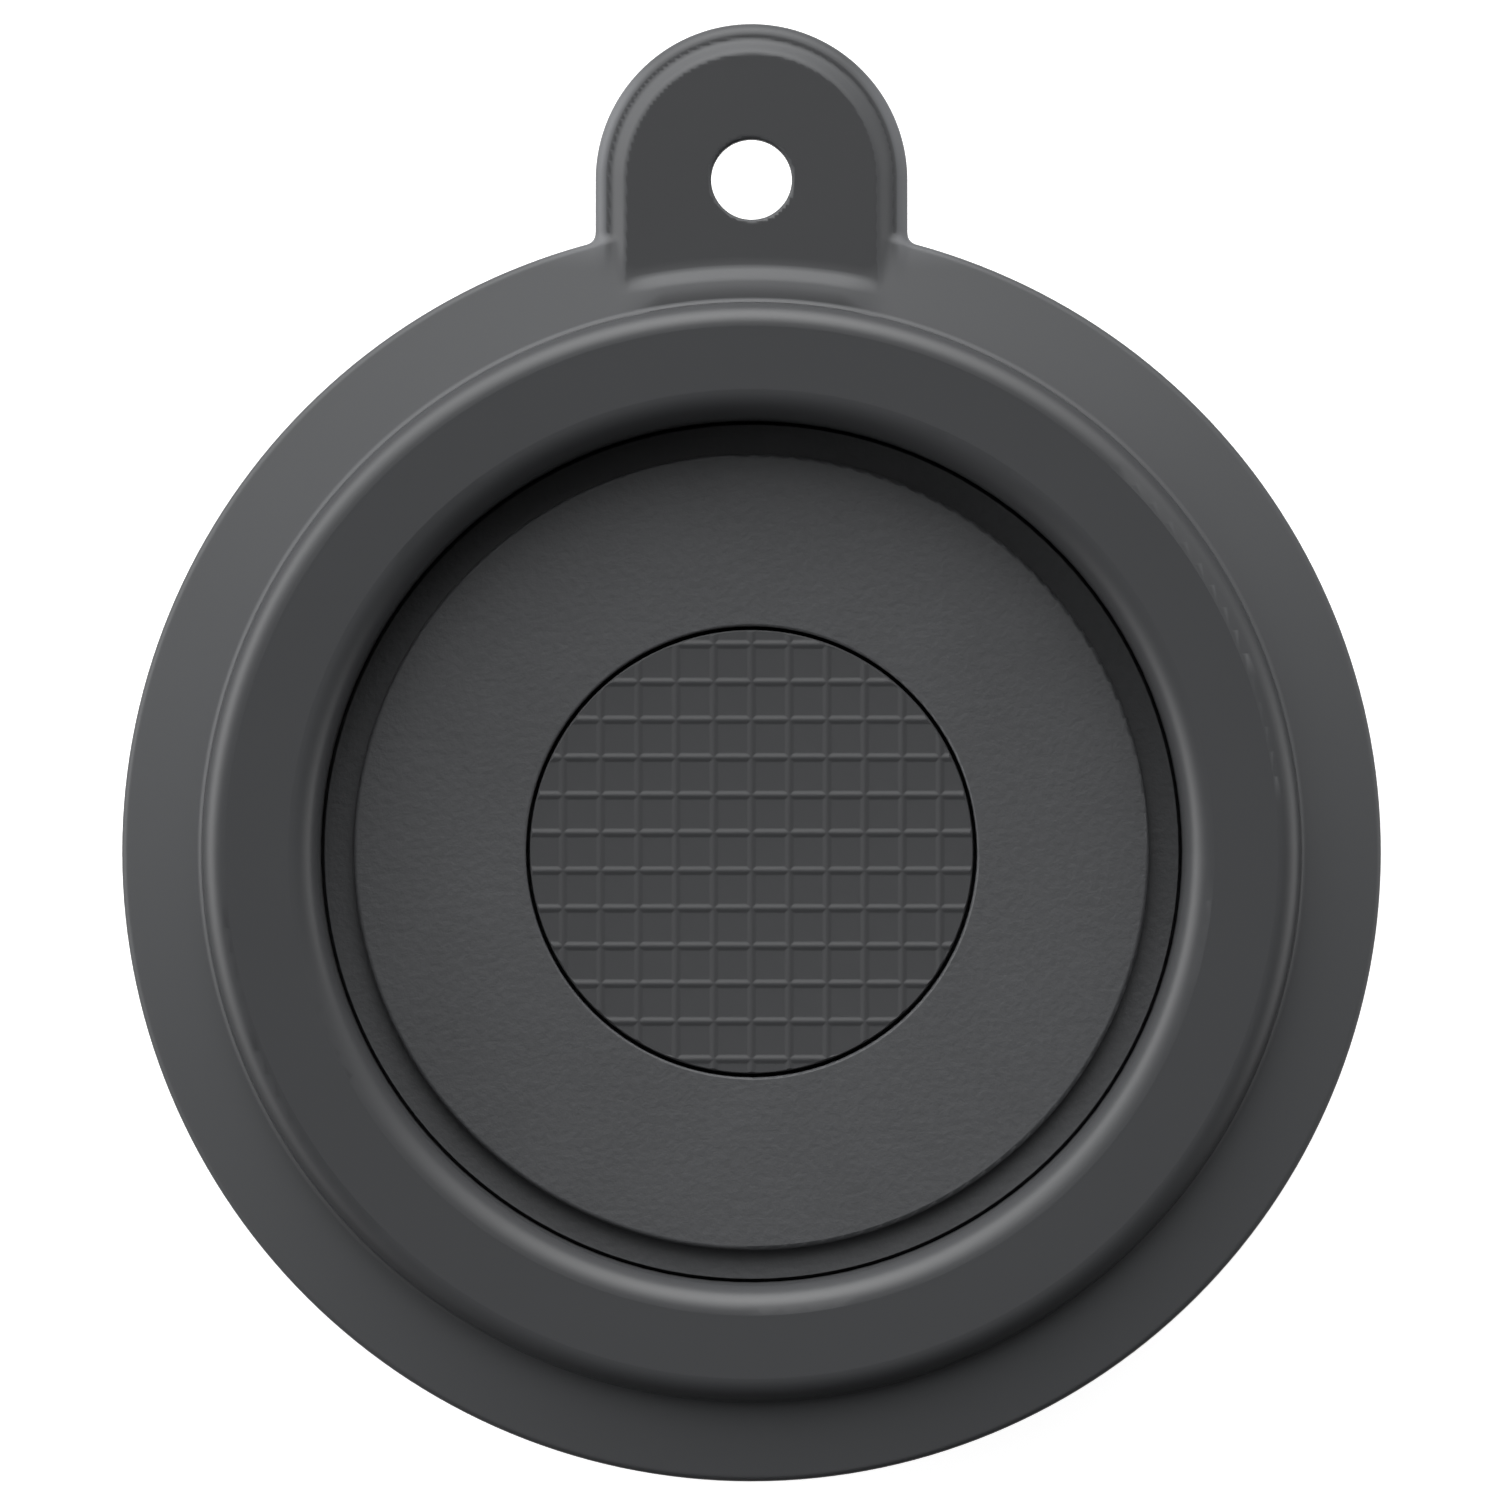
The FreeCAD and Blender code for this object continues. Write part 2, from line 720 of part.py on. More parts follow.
def port_flap():
    """Curved flap over the charging port, with a hinge barrel along its lower edge."""
    y, z = flap_axis()
    plate = flap_room(0.0)
    half = flap_width / 2
    low = block(-half - 1, half + 1, -shell_radius - 2, 0, 0, z)
    plate = plate.cut(low)
    barrel = side_rod(flap_barrel_radius, half)
    neck = block(-half, half, y - 0.5, y + flap_barrel_radius - 0.3, z, z + flap_barrel_radius)
    neck = neck.common(tube(shell_radius, 0, 0, body_height))
    boss = rounded_bar(socket_width - 1.6, socket_height - 1.2,
                       -shell_radius + 0.6, -shell_radius + flap_thickness + 0.9, port_level)
    flap = joined([plate, barrel, neck, boss])
    return flap.cut(side_rod(flap_pin_radius + running_gap, half + 1))


def port_plug():
    """Rubber plug carried on the inside of the flap, which seals the port."""
    start = -shell_radius + flap_thickness
    outer = rounded_bar(socket_width - 0.2, socket_height - 0.2, start - 0.5, start + 1.5, port_level)
    outer = outer.common(tube(-start, 0, 0, body_height))
    return outer.cut(rounded_bar(socket_width - 1.6, socket_height - 1.2, start - 1, start + 0.9, port_level))


def flap_pin():
    """Steel pin of the flap, pressed into the shell at both ends."""
    return side_rod(flap_pin_radius, flap_width / 2 + 1.4)


def charge_socket():
    """Metal shell of the charging socket, at the board's edge."""
    front = -(shell_bore - 0.4)
    outer = rounded_bar(socket_width, socket_height, front, front + socket_length, port_level)
    inner = rounded_bar(socket_width - 0.6, socket_height - 0.6, front - 1, front + socket_length - 0.8, port_level)
    return outer.cut(inner)


def socket_tongue():
    """Contact tongue in the middle of the socket."""
    front = -(shell_bore - 0.4)
    return block(-socket_width / 2 + 1.4, socket_width / 2 - 1.4,
                 front + 0.8, front + socket_length - 0.8, port_level - 0.35, port_level + 0.35)


def indicator_angle():
    """Angle of the charge indicator on the shell."""
    return -90 + math.degrees(math.asin(lens_offset / shell_radius))


def indicator_rod(radius):
    """Radial rod through the wall at the charge indicator."""
    x, y = on_circle(shell_bore - 1.0, indicator_angle())
    outward = Vector(x, y, 0).normalize()
    return Part.makeCylinder(radius, wall + 1.0, Vector(x, y, port_level), outward)


def indicator_lens():
    """Clear lens of the charge indicator, flush with the shell."""
    return indicator_rod(lens_diameter / 2).common(tube(shell_radius, 0, 0, body_height))


def status_lamp():
    """Small lamp on the board behind the lens."""
    x = board_half_width - 2.2
    return block(x - 1.0, x + 1.0, -board_edge, -board_edge + 1.6, board_top, board_top + 1.6)


# ---------------------------------------------------------------- deck, tray and cells
def motor_deck():
    """Partition between water and dry bay: visible band, sealed spigot, and the hub for the shaft seal."""
    gap = fit_gap
    deck = turned([
        (0, hub_under),
        (hub_diameter / 2, hub_under, 0.5),
        (hub_diameter / 2, deck_under),
        (shell_radius, deck_under, 0.3),
        (shell_radius, deck_level, 0.3),
        (shell_bore - gap, deck_level),
        (shell_bore - gap, deck_level + 1.4),
        (shell_bore - gap - seal_depth, deck_level + 1.4),
        (shell_bore - gap - seal_depth, deck_level + 1.4 + seal_width),
        (shell_bore - gap, deck_level + 1.4 + seal_width),
        (shell_bore - gap, deck_level + spigot_height),
        (shell_bore - gap - spigot_wall, deck_level + spigot_height),
        (shell_bore - gap - spigot_wall, deck_level),
        (0, deck_level),
    ])
    tray_boss = post(small_screw[0] + 1.6, deck_under - 3.0, deck_under + 0.1, 0, tray_screw_offset())
    deck = joined([deck] + around(tray_boss, spread(2)))
    neck_room = tube(bush_diameter / 2 + 0.6 + gap, 0, deck_level - 1.0, deck_level)
    shaft_room = tube(shaft_radius + moving_gap, 0, hub_under, deck_level)
    seal_room = tube(seal_outer_diameter / 2, 0, hub_under, deck_level - 1.4)
    motor_hole = post(small_screw[0] + 0.15, deck_under, deck_level, motor_screw_circle, 0)
    head_room = post(small_screw[1] + 0.2, hub_under, deck_under, motor_screw_circle, 0)
    tray_hole = post(small_screw[0], deck_under - 2.0, deck_level, 0, tray_screw_offset())
    cutters = [neck_room, shaft_room, seal_room] + case_bosses(case_screw[0] + 0.2, deck_under, deck_level)
    cutters += around(motor_hole, spread(2)) + around(head_room, spread(2)) + around(tray_hole, spread(2))
    return without(deck, cutters)


def tray_screw_offset():
    """Distance of the tray's screws from the axis."""
    return tray_radius - 3.0


def deck_seal():
    """Rubber ring in the spigot's groove, against the top shell's bore."""
    outer = shell_bore - 0.02
    inner = shell_bore - fit_gap - seal_depth
    low = deck_level + 1.4
    high = low + seal_width
    return turned([(inner, low, 0.3), (outer, low, 0.5), (outer, high, 0.5), (inner, high, 0.3)])


def shaft_seal():
    """Lip seal in the deck's hub."""
    low = hub_under
    high = deck_level - 1.4
    bore = shaft_radius + running_gap
    outer = seal_outer_diameter / 2
    return turned([
        (bore, low + 0.3),
        (bore + 0.5, low),
        (outer, low),
        (outer, high),
        (bore + 1.2, high),
        (bore + 1.2, high - 1.2),
        (bore, high - 1.6),
    ])


def inner_tray():
    """Tray on the deck that holds the two cells and the board's posts."""
    plate = tube(tray_radius, motor_radius + 0.3, deck_level, deck_level + tray_plate)
    top = deck_level + tray_plate + tray_wall_height
    half_length = cell_length / 2 + 0.6
    shapes = [plate]
    for side in (1, -1):
        for edge in (-1, 1):
            x = side * cell_offset + edge * (cell_diameter / 2 + 0.1 + tray_wall / 2)
            shapes.append(block(x - tray_wall / 2, x + tray_wall / 2, -half_length, half_length, deck_level, top))
        low_x = side * cell_offset - cell_diameter / 2 - 0.1 - tray_wall
        for end in (1, -1):
            y = end * (half_length + tray_wall / 2)
            shapes.append(block(low_x, low_x + cell_diameter + 0.2 + 2 * tray_wall,
                                y - tray_wall / 2, y + tray_wall / 2, deck_level, top))
    shapes += [post(2.4, deck_level, board_under, x, y) for x, y in board_posts()]
    tray = joined(shapes)
    motor_room = post(motor_radius + 0.3, deck_level, board_under, 0, 0)
    post_holes = [post(small_screw[0], board_under - 4.5, board_under, x, y) for x, y in board_posts()]
    screw_hole = post(small_screw[0] + 0.15, deck_level, deck_level + tray_plate, 0, tray_screw_offset())
    return without(tray, [motor_room] + post_holes + around(screw_hole, spread(2)))


def tray_screws():
    """Two screws that hold the tray to the deck."""
    one = screw(small_screw, tray_plate + 3.2, deck_level + tray_plate, up=False)
    return [moved(one, 0, y) for y in (tray_screw_offset(), -tray_screw_offset())]


def along_y(radius, y_low, y_high, x, level):
    """Rod along Y."""
    return Part.makeCylinder(radius, y_high - y_low, Vector(x, y_low, level), Vector(0, 1, 0))


def battery_cells():
    """Two rechargeable cells, each with its raised positive end."""
    half = cell_length / 2
    cells = []
    for side in (1, -1):
        x = side * cell_offset
        body = along_y(cell_diameter / 2, -half + 1.0, half - 1.5, x, cell_level)
        tip = along_y(cell_diameter / 5, half - 1.6, half - 0.5, x, cell_level)
        cells.append(joined([body, tip]))
    return cells


def cell_contacts():
    """Plate contacts at both ends of each cell."""
    half = cell_length / 2
    plates = []
    for side in (1, -1):
        for low, high in ((half - 0.5, half), (-half, -half + 1.0)):
            x = side * cell_offset
            plates.append(block(x - 4, x + 4, low, high, deck_level + tray_plate, cell_level + 4))
    return plates


# ---------------------------------------------------------------- motor
def motor_can():
    """Steel can, closed below, with a neck for the front bush."""
    inner = motor_radius - motor_can_wall
    neck = bush_diameter / 2 + 0.6
    bore = bush_diameter / 2
    can = turned([
        (bore, deck_level - 0.9),
        (neck, deck_level - 0.9),
        (neck, deck_level),
        (motor_radius, deck_level, 0.6),
        (motor_radius, motor_top - 2.0),
        (inner, motor_top - 2.0),
        (inner, deck_level + motor_can_wall),
        (bore, deck_level + motor_can_wall),
    ])
    hole = post(small_screw[0], deck_level, deck_level + motor_can_wall, motor_screw_circle, 0)
    return without(can, around(hole, spread(2)))


def motor_end_cap():
    """Moulded end of the motor, with the rear bush's seat and the brush holders."""
    bore = bush_diameter / 2
    cap = turned([
        (bore, motor_top - 2.0),
        (motor_radius, motor_top - 2.0),
        (motor_radius, motor_top - 0.8, 0.4),
        (bore + 1.2, motor_top - 0.8),
        (bore + 1.2, motor_top),
        (bore, motor_top),
    ])
    slot = block(bore + 2.0, motor_radius - 1.4, -1.2, 1.2, motor_top - 2.0, motor_top - 1.3)
    return without(cap, around(slot, spread(2)))


def motor_magnets():
    """Two curved magnets inside the can."""
    outer = motor_radius - motor_can_wall
    ring = tube(outer, outer - magnet_thickness, deck_level + 2.2, motor_top - 2.6)
    gap = block(-motor_radius, motor_radius, -3.0, 3.0, deck_level, motor_top)
    return ring.cut(gap).Solids


def rotor_radius():
    """Outer radius of the armature."""
    return motor_radius - motor_can_wall - magnet_thickness - moving_gap


def motor_armature():
    """Three-slot laminated armature with its windings."""
    radius = rotor_radius()
    low = deck_level + 2.8
    high = motor_top - 4.6
    core = tube(radius, shaft_radius, low, high)
    slot = block(radius * 0.45, radius + 1, -1.0, 1.0, low, high)
    core = without(core, around(slot, spread(3, 60)))
    winding = block(radius * 0.42, radius * 0.72, -radius * 0.42, radius * 0.42, low - 0.4, high + 0.4)
    return joined([core] + around(winding, spread(3)))


def motor_commutator():
    """Segmented commutator above the armature."""
    radius = shaft_radius + 1.3
    low = motor_top - 4.2
    high = motor_top - 2.2
    ring = tube(radius, shaft_radius, low, high)
    slot = block(shaft_radius + 0.7, radius + 1, -0.15, 0.15, low, high)
    return without(ring, around(slot, spread(3)))


def motor_brushes():
    """Two brushes that bear on the commutator."""
    start = shaft_radius + 1.3 + running_gap
    one = block(start, start + 3.2, -0.9, 0.9, motor_top - 3.8, motor_top - 2.0)
    return around(one, spread(2, 90))


def bush(low, high):
    """Plain bush for the motor's shaft."""
    return turned([
        (shaft_radius + running_gap, low),
        (bush_diameter / 2, low),
        (bush_diameter / 2, high),
        (shaft_radius + running_gap, high),
    ])


def motor_shaft():
    """Steel shaft through motor, seal and impeller."""
    return turned([
        (0, impeller_bottom),
        (shaft_radius - 0.3, impeller_bottom),
        (shaft_radius, impeller_bottom + 0.3),
        (shaft_radius, motor_top - 0.3),
        (shaft_radius - 0.3, motor_top),
        (0, motor_top),
    ])


def motor_screws():
    """Two screws up through the deck into the motor."""
    one = moved(screw(small_screw, deck_thickness + 1.6, deck_under), motor_screw_circle, 0)
    return around(one, spread(2))


# ---------------------------------------------------------------- impeller
def impeller():
    """Open impeller: back plate, hub and swept vanes."""
    radius = impeller_diameter / 2
    hub = impeller_hub_diameter / 2
    plate = turned([
        (shaft_radius, impeller_top - impeller_plate),
        (radius, impeller_top - impeller_plate),
        (radius, impeller_top, 0.4),
        (shaft_radius, impeller_top),
    ])
    middle = tube(hub, shaft_radius, impeller_bottom, impeller_top)
    nut_room = tube(nut_radius() + 0.3, 0, impeller_bottom, impeller_bottom + nut_height)
    vanes = around(vane(hub - 0.5, radius), spread(vane_count))
    return joined([plate, middle] + vanes).cut(nut_room)


def vane(inner, outer):
    """One curved vane of even thickness, swept back from the hub to the rim."""
    start = Vector(inner, 0, 0)
    ex, ey = on_circle(outer - 0.1, -vane_sweep)
    end = Vector(ex, ey, 0)
    mx, my = on_circle((inner + outer) / 2, -vane_sweep * 0.36)
    arc = Part.Arc(start, Vector(mx, my, 0), end).toShape()
    centre = arc.Curve.Center
    radius = arc.Curve.Radius
    half = vane_thickness / 2
    low = impeller_bottom
    high = impeller_top - impeller_plate / 2
    ends = []
    for point in (start, Vector(mx, my, 0), end):
        outward = (point - centre).normalize()
        ends.append((centre + outward * (radius - half), centre + outward * (radius + half)))
    near = [pair[0] for pair in ends]
    far = [pair[1] for pair in ends]
    wire = Part.Wire([
        Part.Arc(near[0], near[1], near[2]).toShape(),
        Part.LineSegment(near[2], far[2]).toShape(),
        Part.Arc(far[2], far[1], far[0]).toShape(),
        Part.LineSegment(far[0], near[0]).toShape(),
    ])
    solid = slab(wire, high - low)
    solid.translate(Vector(0, 0, low))
    return solid.common(tube(outer, 0, low, high))


def nut_radius():
    """Corner radius of the impeller's hexagon nut."""
    return nut_width / math.sqrt(3)


def impeller_nut():
    """Hexagon nut on the end of the shaft."""
    corners = [Vector(*on_circle(nut_radius(), angle), impeller_bottom) for angle in spread(6)]
    hexagon = Part.makePolygon(corners + corners[:1])
    return slab(hexagon, nut_height).cut(tube(shaft_radius, 0, impeller_bottom, impeller_bottom + nut_height))


# ---------------------------------------------------------------- base shell and grille
def window(width, height, level):
    """Upright slot through the side wall, with half-round ends."""
    radius = width / 2
    half = height / 2 - radius
    start = Vector(shell_bore - 1.5, 0, 0)
    depth = wall + 3.0
    shapes = []
    for end in (-half, half):
        shapes.append(Part.makeCylinder(radius, depth, start + Vector(0, 0, level + end), Vector(1, 0, 0)))
    if half > 0:
        shapes.append(block(start.x, start.x + depth, -radius, radius, level - half, level + half))
    return joined(shapes)


def base_shell():
    """Lower shell: skirt with intake windows, bottom plate with the inlet, chamber wall with outlet windows."""
    lip = inlet_radius + grille_flange
    shell = turned([
        (shell_radius - 0.6, base_ring_height),
        (shell_radius, base_ring_height + 0.6),
        (shell_radius, deck_under, 0.3),
        (shell_bore, deck_under),
        (shell_bore, plate_level),
        (inlet_radius, plate_level),
        (inlet_radius, skirt_height + 1.0),
        (lip, skirt_height + 1.0),
        (lip, skirt_height),
        (shell_bore, skirt_height),
        (shell_bore, base_ring_height),
    ])
    shell = joined([shell] + case_bosses(case_boss_radius, skirt_height, deck_under))
    head_level = skirt_height + 2.4
    screw_holes = case_bosses(case_screw[0] + 0.2, skirt_height, deck_under)
    head_holes = case_bosses(case_screw[1] + 0.2, skirt_height, head_level)
    pitch = 360.0 / window_count
    intake_level = (base_ring_height + skirt_height) / 2 + 0.3
    outlet_level = (plate_level + deck_under) / 2
    intake_height = skirt_height - base_ring_height - 1.8 * window_margin
    outlet_height = chamber_height - 2 * window_margin
    intakes = around(window(window_width, intake_height, intake_level), spread(window_count, pitch / 2))
    outlets = around(window(window_width, outlet_height, outlet_level), spread(window_count, pitch / 2))
    notches = around(lug_sector(grille_lug_angle + 3.0, skirt_height, plate_level, 0.3), lug_angles(grille_turn))
    tongue = tube(tongue_radius() + 0.5, tongue_radius() - 0.5, base_ring_height, base_ring_height + 0.8)
    return without(shell, screw_holes + head_holes + intakes + outlets + notches + [tongue])


def tongue_radius():
    """Middle of the base ring's locating tongue."""
    return shell_radius - wall / 2


def lug_sector(angle, low, high, extra):
    """Sector of a ring at the inlet's edge, centred on the X axis: a bayonet lug or the notch it passes through."""
    outer = inlet_radius + grille_lug_reach + extra
    ring = tube(outer, inlet_radius - 1.2, low, high)
    reach = 2 * outer
    half = math.radians(angle / 2)
    corners = [
        Vector(0, 0, low),
        Vector(reach * math.cos(half), -reach * math.sin(half), low),
        Vector(reach * math.cos(half), reach * math.sin(half), low),
    ]
    wedge = slab(Part.makePolygon(corners + corners[:1]), high - low)
    return ring.common(wedge)


def lug_angles(turn):
    """Places of the three bayonet lugs, turned by an angle."""
    return spread(3, 90 + turn)


def base_ring():
    """Rubber ring the washer stands on, located by a tongue in the base shell."""
    outer = shell_radius - 0.4
    inner = outer - base_ring_width
    ring = turned([
        (inner, 0, 0.4),
        (outer, 0, 0.4),
        (outer, base_ring_height),
        (inner, base_ring_height),
    ])
    tongue = tube(tongue_radius() + 0.5 - fit_gap, tongue_radius() - 0.5 + fit_gap,
                  base_ring_height - 0.1, base_ring_height + 0.75)
    return joined([ring, tongue])


def intake_grille():
    """Twist-off grille: square holes, a rim, three bayonet lugs and two finger bars."""
    high = skirt_height + grille_thickness
    rim = inlet_radius - grille_gap
    flange = inlet_radius + grille_flange - grille_gap
    plate = turned([
        (0, skirt_height),
        (flange, skirt_height, 0.3),
        (flange, skirt_height + 1.0 - grille_gap),
        (rim, skirt_height + 1.0 - grille_gap),
        (rim, high),
        (0, high),
    ])
    half = (grille_pitch - grille_bar) / 2
    field = inlet_radius - grille_rim
    lines = grid_lines(grille_pitch, field, grille_pitch / 2)
    holes = []
    for x in lines:
        for y in lines:
            if math.hypot(abs(x) + half, abs(y) + half) < field:
                holes.append(block(x - half, x + half, y - half, y + half, skirt_height - 1, high + 1))
    plate = without(plate, holes)
    top = plate_level + grille_gap + grille_lug_height
    arms = around(lug_sector(grille_lug_angle, high - 0.3, top, 0.0).common(tube(rim, 0, 0, top)), lug_angles(0))
    lugs = around(lug_sector(grille_lug_angle, plate_level + grille_gap, top, 0.0), lug_angles(0))
    grip = block(field + 0.4, rim - 0.6, -5.0, 5.0, skirt_height - 1.2, skirt_height + 0.1)
    return joined([plate] + arms + lugs + around(grip, spread(2)))


def case_screws():
    """Four long screws that clamp base shell, deck and top shell together."""
    head_level = skirt_height + 2.4
    length = deck_level - head_level + case_thread
    x, y = on_circle(case_boss_circle, case_boss_angle)
    one = screw(case_screw, length, head_level)
    return [moved(one, sx * x, sy * y) for sx in (1, -1) for sy in (1, -1)]


# ---------------------------------------------------------------- wires
def wire_run(points):
    """Round wire along straight runs with a tangent arc at each inner point."""
    edges = []
    start = points[0]
    for before, corner, after in zip(points, points[1:], points[2:]):
        to_before = before - corner
        to_after = after - corner
        shorter = min(to_before.Length, to_after.Length)
        to_before.normalize()
        to_after.normalize()
        half = to_before.getAngle(to_after) / 2
        reach = 0.45 * shorter
        radius = reach * math.tan(half)
        bisector = (to_before + to_after).normalize()
        centre = corner + bisector * (radius / math.sin(half))
        first = corner + to_before * reach
        last = corner + to_after * reach
        edges.append(Part.LineSegment(start, first).toShape())
        edges.append(Part.Arc(first, centre - bisector * radius, last).toShape())
        start = last
    edges.append(Part.LineSegment(start, points[-1]).toShape())
    path = Part.Wire(edges)
    direction = (points[1] - points[0]).normalize()
    section = Part.Wire(Part.makeCircle(wire_diameter / 2, points[0], direction))
    return path.makePipeShell([section], True, False)


def motor_lead(side):
    """Lead from the motor's end cap up, across and up again to the board's underside."""
    x = side * (bush_diameter / 2 + 3.0)
    out = side * (motor_radius - 2.0)
    low = motor_top - 0.8
    middle = (low + board_under) / 2
    return wire_run([Vector(x, 0, low), Vector(x, 0, middle), Vector(out, 5.0, middle), Vector(out, 5.0, board_under)])


def cell_lead(side):
    """Lead from a cell's contact up, across and down to the board's top face."""
    x = side * (cell_offset - 2.0)
    end = side * (board_half_width - 1.6)
    y = cell_length / 2 - 0.25
    landing = board_back - lead_landing
    over = max(board_top, cell_level + cell_diameter / 2) + 2.0
    return wire_run([
        Vector(x, y, cell_level + 4.0),
        Vector(x, y, over),
        Vector(end, landing, over),
        Vector(end, landing, board_top),
    ])


# ---------------------------------------------------------------- build
def build():
    """All sub-parts by node name. A list is a group of separate solids in one node."""
    return {
        "bumper_collar": bumper_collar(),
        "bezel_ring": bezel_ring(),
        "bezel_screws": bezel_screws(),
        "cover_plate": cover_plate(),
        "cover_seal": cover_seal(),
        "cover_screws": cover_screws(),
        "button_cap": button_cap(),
        "button_stem": button_stem(),
        "button_spring": button_spring(),
        "stem_seal": stem_seal(),
        "stem_clip": stem_clip(),
        "control_board": control_board(),
        "board_screws": board_screws(),
        "board_parts": board_parts(),
        "tact_switch": tact_switch(),
        "switch_plunger": switch_plunger(),
        "top_shell": top_shell(),
        "port_flap": port_flap(),
        "port_plug": port_plug(),
        "flap_pin": flap_pin(),
        "charge_socket": charge_socket(),
        "socket_tongue": socket_tongue(),
        "indicator_lens": indicator_lens(),
        "status_lamp": status_lamp(),
        "motor_deck": motor_deck(),
        "deck_seal": deck_seal(),
        "shaft_seal": shaft_seal(),
        "inner_tray": inner_tray(),
        "tray_screws": tray_screws(),
        "battery_cells": battery_cells(),
        "cell_contacts": cell_contacts(),
        "motor_can": motor_can(),
        "motor_end_cap": motor_end_cap(),
        "motor_magnets": motor_magnets(),
        "motor_armature": motor_armature(),
        "motor_commutator": motor_commutator(),
        "motor_brushes": motor_brushes(),
        "front_bush": bush(deck_level - 0.9, deck_level + motor_can_wall + 1.2),
        "rear_bush": bush(motor_top - 2.0, motor_top),
        "motor_shaft": motor_shaft(),
        "motor_screws": motor_screws(),
        "impeller": impeller(),
        "impeller_nut": impeller_nut(),
        "base_shell": base_shell(),
        "base_ring": base_ring(),
        "intake_grille": intake_grille(),
        "case_screws": case_screws(),
        "motor_lead_red": motor_lead(1),
        "motor_lead_black": motor_lead(-1),
        "cell_lead_red": cell_lead(1),
        "cell_lead_black": cell_lead(-1),
    }


def main():
    os.makedirs("parts", exist_ok=True)
    for name, shape in build().items():
        solids = []
        for piece in shape if isinstance(shape, list) else [shape]:
            solids += piece.Solids
        if not solids:
            raise ValueError(name + " has no solid")
        for solid in solids:
            if not solid.isValid() or solid.Volume <= 0:
                raise ValueError(name + " has a bad solid")
        whole = solids[0] if len(solids) == 1 else Part.Compound(solids)
        whole.exportStep("parts/" + name + ".step")
        print(name, len(solids), "solids", round(sum(s.Volume for s in solids), 1), "mm3")


main()
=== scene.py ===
import json
import math

import bmesh
import bpy
import numpy as np
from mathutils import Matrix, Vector


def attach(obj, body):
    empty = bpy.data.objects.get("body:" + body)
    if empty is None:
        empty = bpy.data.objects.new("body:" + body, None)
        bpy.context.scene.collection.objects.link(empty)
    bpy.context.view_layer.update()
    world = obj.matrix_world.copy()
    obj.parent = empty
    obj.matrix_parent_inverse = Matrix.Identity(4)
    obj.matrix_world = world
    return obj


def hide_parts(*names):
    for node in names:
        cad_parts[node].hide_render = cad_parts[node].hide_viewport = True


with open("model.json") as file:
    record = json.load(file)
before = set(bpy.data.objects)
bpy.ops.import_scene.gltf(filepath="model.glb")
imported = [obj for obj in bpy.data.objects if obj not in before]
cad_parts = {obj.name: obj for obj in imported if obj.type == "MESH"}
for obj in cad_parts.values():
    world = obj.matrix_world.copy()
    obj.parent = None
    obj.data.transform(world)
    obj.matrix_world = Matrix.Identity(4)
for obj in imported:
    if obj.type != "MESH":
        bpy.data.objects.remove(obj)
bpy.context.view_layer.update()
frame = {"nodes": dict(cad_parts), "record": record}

MM = 0.001

# Body and shoulder, in mm.
BODY_RADIUS = 50.0
BEZEL_RADIUS = 43.6
SHOULDER_ANGLE = 12.0
SLOPE = math.tan(math.radians(SHOULDER_ANGLE))
COSINE = math.cos(math.radians(SHOULDER_ANGLE))
CROWN = 53.8
SHOULDER_RUN = 6.4
EDGE = CROWN - SHOULDER_RUN * SLOPE
COLLAR_HEIGHT = 7.5
COLLAR_BOTTOM = EDGE - COLLAR_HEIGHT
NECK_RADIUS = 48.0
CROWN_WALL = 1.8
EDGE_ROUND = 0.45
SKIRT_ROUND = 0.5
COVE_HEIGHT = 0.2
COVE_WIDTH = 0.35
BEZEL_OVERLAP = 0.1

# Hanging tab, its hole and the low ramp at its root, in mm.
TAB_RAISED = 0.72
TAB_LEVEL = EDGE + TAB_RAISED
TAB_THICKNESS = 3.2
TAB_UNDER = TAB_LEVEL - TAB_THICKNESS
TAB_STEP = 0.8
TAB_HALF = 12.4
TAB_CENTRE = 53.4
TAB_ROOT = 40
TAB_TOP_ROUND = 1.0
TAB_FOOT_ROUND = 0.9
BEVEL_START = 1.15
BEVEL_END = 2.5
HOLE_RADIUS = 3.2
HOLE_ROUND = 0.22
RAMP_FOOT = 46.60
RAMP_RUN = 1.3
RAMP_SWELL = 0.34
RAMP_FALL = 0.5
RAMP_INNER = 7.0
RAMP_OUTER = 11.0
ROOT_FILLET = 0.15
FLANK_FILLET = 0.65
FLANK_INNER = 9.0
FLANK_OUTER = 12.0

# Push button, in mm.
FACE = 50.0
CAP_UNDER = 48.4
BUTTON_RADIUS = 17.65
BUTTON_ROUND = 0.28
BUTTON_FOOT = 0.2
RIM_BAND = 0.3
STEM_HEAD = 6.6
STEM_POCKET = 0.8
RIB_PITCH = 3.0
RIB_HALF = 0.42
RIB_HEIGHT = 0.08
RIB_CUTS = 9
RIBS_EACH_WAY = 7
FIELD_HALF = 19


# ---------------------------------------------------------------- materials
SPECULAR = 0.5
COAT_ROUGHNESS = 0.12
GRAIN_DETAIL = 4
GRAIN_ROUGHNESS = 0.6
PATCH_SCALE = 90.0
PATCH_DETAIL = 5
SPECK_SHARE = 0.8
ROUGH_VARY = 0.08
# Masks of the painted light on the collar: paler leaning faces, and a painted highlight on the tab's rim.
LEAN_STARTS = 0.9995
LEAN_FULL = 0.982
RIM_STARTS = TAB_HALF - 1.25
RIM_FULL = TAB_HALF - 0.55
FLANK_STARTS = 7.0
FLANK_FULL = 11.5
OUTWARD_STARTS = 46.0
OUTWARD_FULL = 50.0


def link(tree, a, out, b, into):
    tree.links.new(a.outputs[out], b.inputs[into])


def math_node(tree, operation, a, b):
    """Math node on sockets or numbers."""
    node = tree.nodes.new("ShaderNodeMath")
    node.operation = operation
    for n, value in enumerate((a, b)):
        if isinstance(value, float):
            node.inputs[n].default_value = value
        else:
            tree.links.new(value, node.inputs[n])
    return node.outputs["Value"]


